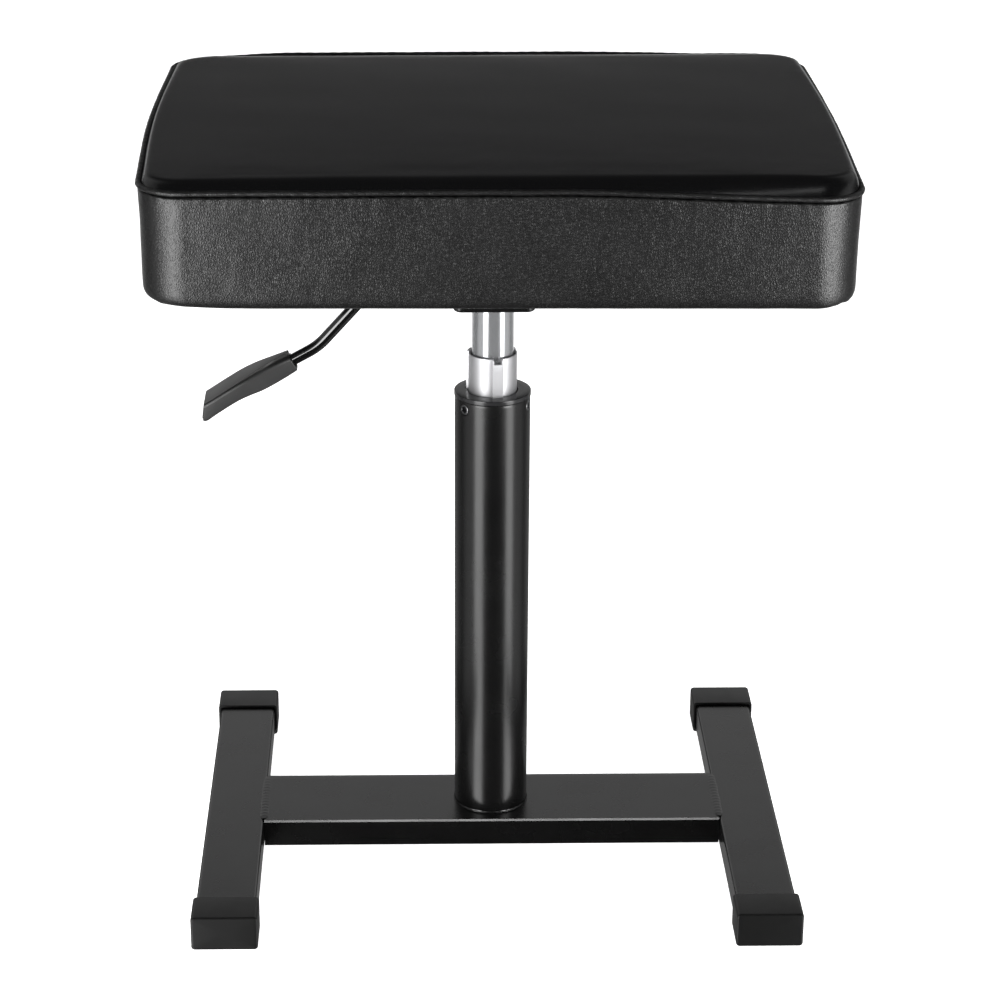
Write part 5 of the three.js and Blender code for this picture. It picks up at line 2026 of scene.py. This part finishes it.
        piece = Piece("cover_band", Body.SEAT, Slot.SIDE, [patch], sharp_degrees=60).place()

    def edge_shift(self, grid: Array) -> Array:
        """Gives how far the padding hangs below the board's edge.

        The cover hangs by the drop, a little more towards the right, and is drawn up at the two
        left-hand corners. The move fades up the wall and under the board.

        Args:
            grid: The band's points.

        Returns:
            The moves along Z.
        """
        share = grid[..., :2] / self.half
        wall = smooth_step((self.bottom + 16 - grid[..., 2]) / 16)
        inside = (self.half - np.abs(grid[..., :2])).min(axis=-1)
        under = smooth_step((20 - inside) / 14)
        left = smooth_step((-share[..., 0] - 0.72) / 0.28)
        corner = left * smooth_step((np.abs(share[..., 1]) - 0.66) / 0.34)
        drop = self.edge_drop + self.edge_slant * share[..., 0] - self.corner_lift * corner
        return -drop * wall * under

    def pleats(self, loop: Loop, beyond: Array) -> Array:
        """Gives the pleats under the corners, which deepen towards the cover's inner edge.

        Args:
            loop: The columns.
            beyond: How far each row lies past the board's lower edge.

        Returns:
            The moves along the normal, by row and column.
        """
        corner = (np.abs(loop.across) == 1) & (np.abs(loop.along) == 1)
        quarter = (loop.angle % (np.pi / 2)) / (np.pi / 2)
        folds = np.sin(quarter * np.pi) ** 0.5 * (0.5 - 0.5 * np.cos(quarter * 2 * np.pi * 6))
        return -0.9 * smooth_step((beyond[:, None] - 4) / 14) * np.where(corner, folds, 0)

    def piping(self) -> None:
        """Makes the piping: a circle carried round the outline, pinched a little by each stitch."""
        loop = self.loop(self.band_factor)
        radius = self.piping_diameter / 2
        half = self.half - (radius - self.piping_overhang, radius)
        centre_line = loop.ring(*half, self.corner - radius)
        around, length = lengths_round(centre_line)
        pitch = length / round(length / self.stitch_pitch)
        pinch = 1 - 0.035 * np.cos(around / pitch * 2 * np.pi)
        pinch = pinch - 0.02 * wander(around, length, 23.0, self.seed + 7)
        turn = circle(20)[:, None]
        wide = radius * pinch * (1 - 0.05 * np.clip(-np.sin(turn), 0, 1))
        flat = self.bulged(centre_line) + loop.outward() * (wide * np.cos(turn))[..., None]
        lift = np.minimum(0.18 * wander(around, length, 90.0, self.seed + 8), 0)
        height = self.piping_top - radius + wide * np.sin(turn) + lift + self.seam_shift(flat)
        patch = Patch(at_height(flat, height), closed=True)
        Piece("cover_piping", Body.SEAT, Slot.SIDE, [patch], sharp_degrees=60).place()

    def dust_cover(self) -> None:
        """Makes the cloth under the board: a thin sheet that sags a little between its edges."""
        box = Extent.of("dust_cover")
        half = box.size[:2] / 2
        radius = self.corner / 2
        steps = (96, 72)
        flats = filled(Loop.rounded(*steps, 12), steps, half, radius, np.linspace(0, radius, 9))
        patches = []
        for depth in (0.0, box.size[2] * 0.45):
            for flat in flats:
                room = np.prod(1 - np.clip(np.abs(flat) / half, 0, 1) ** 4, axis=-1)
                points = at_height(flat, box.high[2])
                sag = 0.25 * room * (1 + 0.6 * wavy_field(points, 60.0, self.seed + 9))
                points[..., 2] -= depth + np.clip(sag, 0, box.size[2] * 0.5)
                patches.append(Patch(points, around=flat is flats[0]))
        patches.append(Patch(np.stack([patches[0].points[0], patches[2].points[0]])))
        piece = Piece("dust_cover", Body.SEAT, Slot.DUST, patches, sharp_degrees=60).place()

    def staples(self) -> None:
        """Makes the staples that hold the dust cover: a row of wire crowns set in from its edge."""
        box = Extent.of("dust_cover")
        loop = Loop.rounded(13, 10, 1)
        ring = loop.ring(*(box.size[:2] / 2 - self.staple_inset), self.corner / 2)
        crown = np.array([(-5.0, 0.5), (-5.0, -0.3), (-4.6, -0.62), (4.6, -0.62), (5.0, -0.3), (5.0, 0.5)])
        turn = circle(6)
        thick = 0.25 * np.sin(turn) * np.array([0.2, 0.8, 1, 1, 0.8, 0.2])[:, None]
        height = box.low[2] + crown[:, 1:] + thick
        patches = []
        for spot, (x, y) in zip(ring, loop.outward()):
            along = crown[:, :1] * (-y, x)
            wire = along[:, None] + spot - 0.35 * np.cos(turn)[:, None] * (x, y)
            points = at_height(wire, height)
            ends = points.mean(axis=1, keepdims=True).repeat(len(turn), axis=1)
            patches.append(Patch(np.concatenate([ends[:1], points, ends[-1:]])))
        staples = Piece("dust_cover_staples", Body.SEAT, Slot.ZINC, patches, finish=STAPLE_WIRE, extra=True)
        staples.place()


@dataclass
class InnerParts:
    """The construction nodes that stay: everything that the fine pieces don't replace."""

    nodes: dict[str, bpy.types.Object]
    subparts: list[dict[str, str]]

    def build(self) -> None:
        """Gives each construction node the finish of its slot."""
        for row in self.subparts:
            materials = self.nodes[row["node"]].data.materials
            materials.clear()
            materials.append(FINISHES[Slot(row["material_slot"])].material())


def area_light(
    name: str,
    size: tuple[float, float],
    energy: float,
    location: Sequence[float],
    rotation: Sequence[float] = (0.0, 0.0, 0.0),
) -> bpy.types.Object:
    """Hangs a rectangular area light that the camera doesn't see.

    Args:
        name: Its name.
        size: Its width and height in metres.
        energy: Its power.
        location: Its middle in metres.
        rotation: Its turns about X, Y and Z in radians. Unturned, it shines down.

    Returns:
        The light.
    """
    data = bpy.data.lights.new(name, "AREA")
    data.shape = "RECTANGLE"
    data.size, data.size_y = size
    data.energy = energy
    lamp = bpy.data.objects.new(name, data)
    lamp.location = location
    lamp.rotation_euler = rotation
    lamp.visible_camera = False
    bpy.context.scene.collection.objects.link(lamp)
    return lamp


@dataclass(frozen=True)
class Panel:
    """A soft light panel that stands round the bench, far away.

    Attributes:
        azimuth: Its middle in degrees, from the front towards +X.
        half_width: Half its width in degrees.
        low: The sine of its lower edge's elevation.
        high: The sine of its upper edge's elevation.
        strength: Its brightness.
        soft: How far its side edges fade, in degrees.
        fade: How far its upper and lower edges fade, as a sine.
    """

    azimuth: float
    half_width: float
    low: float
    high: float
    strength: float
    soft: float
    fade: float

    def add(
        self,
        tree: bpy.types.NodeTree,
        bearing: bpy.types.Node,
        rise: bpy.types.NodeSocket,
        light: bpy.types.Node,
    ) -> bpy.types.Node:
        """Adds the panel to the room's light.

        The panel is where the bearing's cosine from its middle is high enough and the rise lies between
        its lower and upper edge.

        Args:
            tree: The world's nodes.
            bearing: The level direction that is looked at.
            rise: The sine of its elevation.
            light: The light so far.

        Returns:
            The sum of the light so far and the panel.
        """
        azimuth = math.radians(self.azimuth)
        middle = (math.sin(azimuth), -math.cos(azimuth), 0.0)
        facing = add_node(tree, "VectorMath", {0: bearing, 1: middle}, operation="DOT_PRODUCT")
        widest = math.radians(min(self.half_width + self.soft, 180.0))
        narrowest = math.radians(min(max(self.half_width - self.soft, 0.0), 180.0))
        ranges = [
            ranged(facing.outputs["Value"], (math.cos(widest) - 0.001, math.cos(narrowest))),
            ranged(rise, (self.low - self.fade, self.low + self.fade)),
            ranged(rise, (self.high - self.fade, self.high + self.fade), (self.strength, 0.0)),
        ]
        across, above, below = (
            add_node(tree, "MapRange", inputs, interpolation_type="SMOOTHSTEP") for inputs in ranges
        )
        window = add_node(tree, "Math", {0: above, 1: below}, operation="MULTIPLY")
        return add_node(tree, "Math", {0: window, 1: across, 2: light}, operation="MULTIPLY_ADD")


@dataclass(frozen=True)
class Lamp:
    """An upright rectangular soft box that faces the column.

    Attributes:
        name: Its name.
        azimuth: Its direction in degrees, from the front towards +X.
        distance: Its distance from the column, in metres.
        width: Its width in metres.
        low: The height of its lower edge in metres.
        high: The height of its upper edge in metres.
        radiance: Its brightness.
    """

    name: str
    azimuth: float
    distance: float
    width: float
    low: float
    high: float
    radiance: float

    def place(self) -> None:
        """Makes the area light. Its power is four times its radiance times its area."""
        size = (self.width, self.high - self.low)
        azimuth = math.radians(self.azimuth)
        across = self.distance * math.sin(azimuth)
        location = (across, -self.distance * math.cos(azimuth), (self.low + self.high) / 2)
        energy = 4 * self.radiance * size[0] * size[1]
        area_light(self.name, size, energy, location, (math.pi / 2, 0.0, azimuth))


@dataclass
class Studio:
    """Camera, lights and floor."""

    focal_px: float = 2900.0
    picture_px: float = 1000.0
    sensor_mm: float = 36.0
    principal_px: float = 430.0
    pitch: float = 22.224
    turn: float = 0.342
    roll: float = 0.203
    distance: float = 1973.711
    aim_x: float = -42.2
    aim_z: float = 249.37
    base_light: float = 0.015
    ceiling_light: float = 0.01
    ceiling_rise: tuple[float, float] = (0.5, 0.85)
    lamps: tuple[Lamp, ...] = (
        Lamp("Lamp_left_low", -42.0, 0.85, 0.4, -0.55, 0.12, 3.3),
        Lamp("Lamp_left_high", -38.0, 0.85, 0.4, 0.12, 0.6, 7.6),
        Lamp("Lamp_right_low", 53.0, 1.1, 0.44, -0.7, 0.08, 3.0),
        Lamp("Lamp_right_high", 45.0, 1.0, 0.42, 0.1, 0.62, 9.6),
        Lamp("Lamp_back", 180.0, 0.6, 1.5, 0.1, 0.56, 0.46),
    )
    panels: tuple[Panel, ...] = (
        Panel(-64.0, 26.0, -0.9, 0.5, 0.6, 18.0, 0.06),
        Panel(74.0, 24.0, -0.9, 0.5, 0.6, 16.0, 0.06),
        Panel(0.0, 24.0, 0.855, 0.885, 5.0, 14.0, 0.012),
        Panel(180.0, 60.0, -0.9, -0.2, 0.25, 25.0, 0.05),
        Panel(180.0, 200.0, 0.0, 0.36, 0.1, 20.0, 0.05),
        Panel(-130.0, 24.0, 0.2, 0.75, 0.4, 14.0, 0.08),
        Panel(130.0, 24.0, 0.2, 0.75, 0.35, 14.0, 0.08),
    )
    overhead_size: float = 3.0
    overhead_energy: float = 45.0
    overhead_place: tuple[float, float, float] = (-0.5, -0.6, 2.6)
    strip_size: tuple[float, float] = (0.36, 0.02)
    strip_energy: float = 0.4
    strip_place: tuple[float, float, float] = (0.0, -0.131, 0.2)
    strip_tilt: float = 28.3
    floor_half: float = 12.0
    floor_colour: float = 0.9

    def build(self) -> None:
        """Makes the camera, the world, the floor and the lights."""
        self.camera()
        self.world()
        self.floor()
        self.top_light()
        self.edge_light()
        for lamp in self.lamps:
            lamp.place()
        self.shield_level_faces()
        bpy.context.scene.view_settings.view_transform = "Standard"

    def shield_level_faces(self) -> None:
        """Keeps the high soft boxes off the broad level faces, which would only glare from behind."""
        shielded = bpy.data.collections.new("Level_faces")
        for piece in bpy.data.objects:
            if piece.name.startswith(("Cover_top", "Crossbar", "Foot_", "End_cap")):
                shielded.objects.link(piece)
        for member in shielded.collection_objects:
            member.light_linking.link_state = "EXCLUDE"
        for lamp in self.lamps:
            if lamp.name.endswith("high"):
                bpy.data.objects[lamp.name].light_linking.receiver_collection = shielded

    def camera(self) -> None:
        """Places the camera at the photograph's viewpoint.

        It looks down by the pitch at a point on the bench's middle plane from the given distance, is
        turned a little about the vertical, and rolled about its own axis.
        """
        pitch = math.radians(self.pitch)
        roll = math.radians(self.roll)
        ahead = np.array([0.0, math.cos(pitch), -math.sin(pitch)])
        right = np.array([1.0, 0.0, 0.0])
        up = np.array([0.0, math.sin(pitch), math.cos(pitch)])
        eye = np.array([self.aim_x, 0.0, self.aim_z]) - ahead * self.distance
        rolled_right = math.cos(roll) * right - math.sin(roll) * up
        rolled_up = math.sin(roll) * right + math.cos(roll) * up
        axes = np.column_stack([rolled_right, rolled_up, -ahead])
        about_z = np.array(Matrix.Rotation(-math.radians(self.turn), 3, "Z"))
        place = np.eye(4)
        place[:3, :3] = about_z @ axes
        place[:3, 3] = about_z @ eye * MM
        data = bpy.data.cameras.new("Camera")
        data.sensor_width = self.sensor_mm
        data.lens = self.focal_px / self.picture_px * self.sensor_mm
        data.shift_x = 0.5 - self.principal_px / self.picture_px
        camera = bpy.data.objects.new("Camera", data)
        camera.matrix_world = Matrix(place.tolist())
        bpy.context.scene.collection.objects.link(camera)
        bpy.context.scene.camera = camera

    def world(self) -> None:
        """Surrounds the bench with a dim room, light panels and, for the camera, plain white."""
        world = bpy.data.worlds.new("Studio")
        bpy.context.scene.world = world
        world.use_nodes = True
        tree = world.node_tree
        tree.nodes.clear()
        heading = add_node(tree, "TexCoord").outputs["Generated"]
        rise = add_node(tree, "SeparateXYZ", {0: heading}).outputs["Z"]
        level = add_node(tree, "VectorMath", {0: heading, 1: (1.0, 1.0, 0.0)}, operation="MULTIPLY")
        bearing = add_node(tree, "VectorMath", {0: level}, operation="NORMALIZE")
        room = ranged(rise, self.ceiling_rise, (self.base_light, self.ceiling_light))
        light = add_node(tree, "MapRange", room, interpolation_type="SMOOTHSTEP")
        for panel in self.panels:
            light = panel.add(tree, bearing, rise, light)
        studio = add_node(tree, "Background", {"Color": light, "Strength": 1.0})
        white = add_node(tree, "Background", {"Color": (1.0, 1.0, 1.0, 1.0), "Strength": 1.0})
        seen = add_node(tree, "LightPath").outputs["Is Camera Ray"]
        mixed = add_node(tree, "MixShader", {0: seen, 1: studio, 2: white})
        add_node(tree, "OutputWorld", {"Surface": mixed})

    def floor(self) -> None:
        """Lays a plain pale floor, which glows a little and is seen from above only.

        It casts no shadow and mirror reflections pass it, as on a bench shot in front of white.
        """
        half = self.floor_half
        mesh = bpy.data.meshes.new("Floor")
        corners = [(-half, -half, 0.0), (half, -half, 0.0), (half, half, 0.0), (-half, half, 0.0)]
        mesh.from_pydata(corners, [], [(0, 1, 2, 3)])
        material = bpy.data.materials.new("Floor_pale")
        material.use_nodes = True
        tree = material.node_tree
        tree.nodes.clear()
        matt = add_node(tree, "BsdfDiffuse", {"Color": (*[self.floor_colour] * 3, 1.0)})
        glow = add_node(tree, "Emission", {"Color": (1.0, 1.0, 1.0, 1.0), "Strength": 1.0})
        lit = add_node(tree, "AddShader", {0: matt, 1: glow})
        clear = add_node(tree, "BsdfTransparent")
        behind = add_node(tree, "NewGeometry").outputs["Backfacing"]
        mixed = add_node(tree, "MixShader", {0: behind, 1: lit, 2: clear})
        add_node(tree, "OutputMaterial", {"Surface": mixed})
        mesh.materials.append(material)
        floor = bpy.data.objects.new("Floor", mesh)
        floor.visible_glossy = False
        floor.visible_shadow = False
        bpy.context.scene.collection.objects.link(floor)

    def top_light(self) -> None:
        """Hangs a large soft light overhead that lights the floor and dull surfaces without a glare."""
        size = (self.overhead_size, self.overhead_size)
        lamp = area_light("Overhead", size, self.overhead_energy, self.overhead_place)
        lamp.visible_glossy = False

    def edge_light(self) -> None:
        """Hangs a narrow strip in front of the column that shows as a line along the crossbar's edge."""
        tilt = (math.radians(self.strip_tilt), 0.0, 0.0)
        lamp = area_light("Edge_strip", self.strip_size, self.strip_energy, self.strip_place, tilt)
        lit = bpy.data.collections.new("Edge_lit")
        lit.objects.link(bpy.data.objects["Crossbar"])
        lamp.light_linking.receiver_collection = lit


def main() -> None:
    logging.basicConfig(level=logging.INFO, format="%(message)s")
    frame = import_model()
    InnerParts(frame["nodes"], frame["record"]["subparts"]).build()
    WeldedBase().build()
    column = Column()
    column.build()
    GasSpring(column).build()
    Mechanism().build()
    Lever().build()
    Cushion().build()
    Studio().build()


if __name__ == "__main__":
    main()
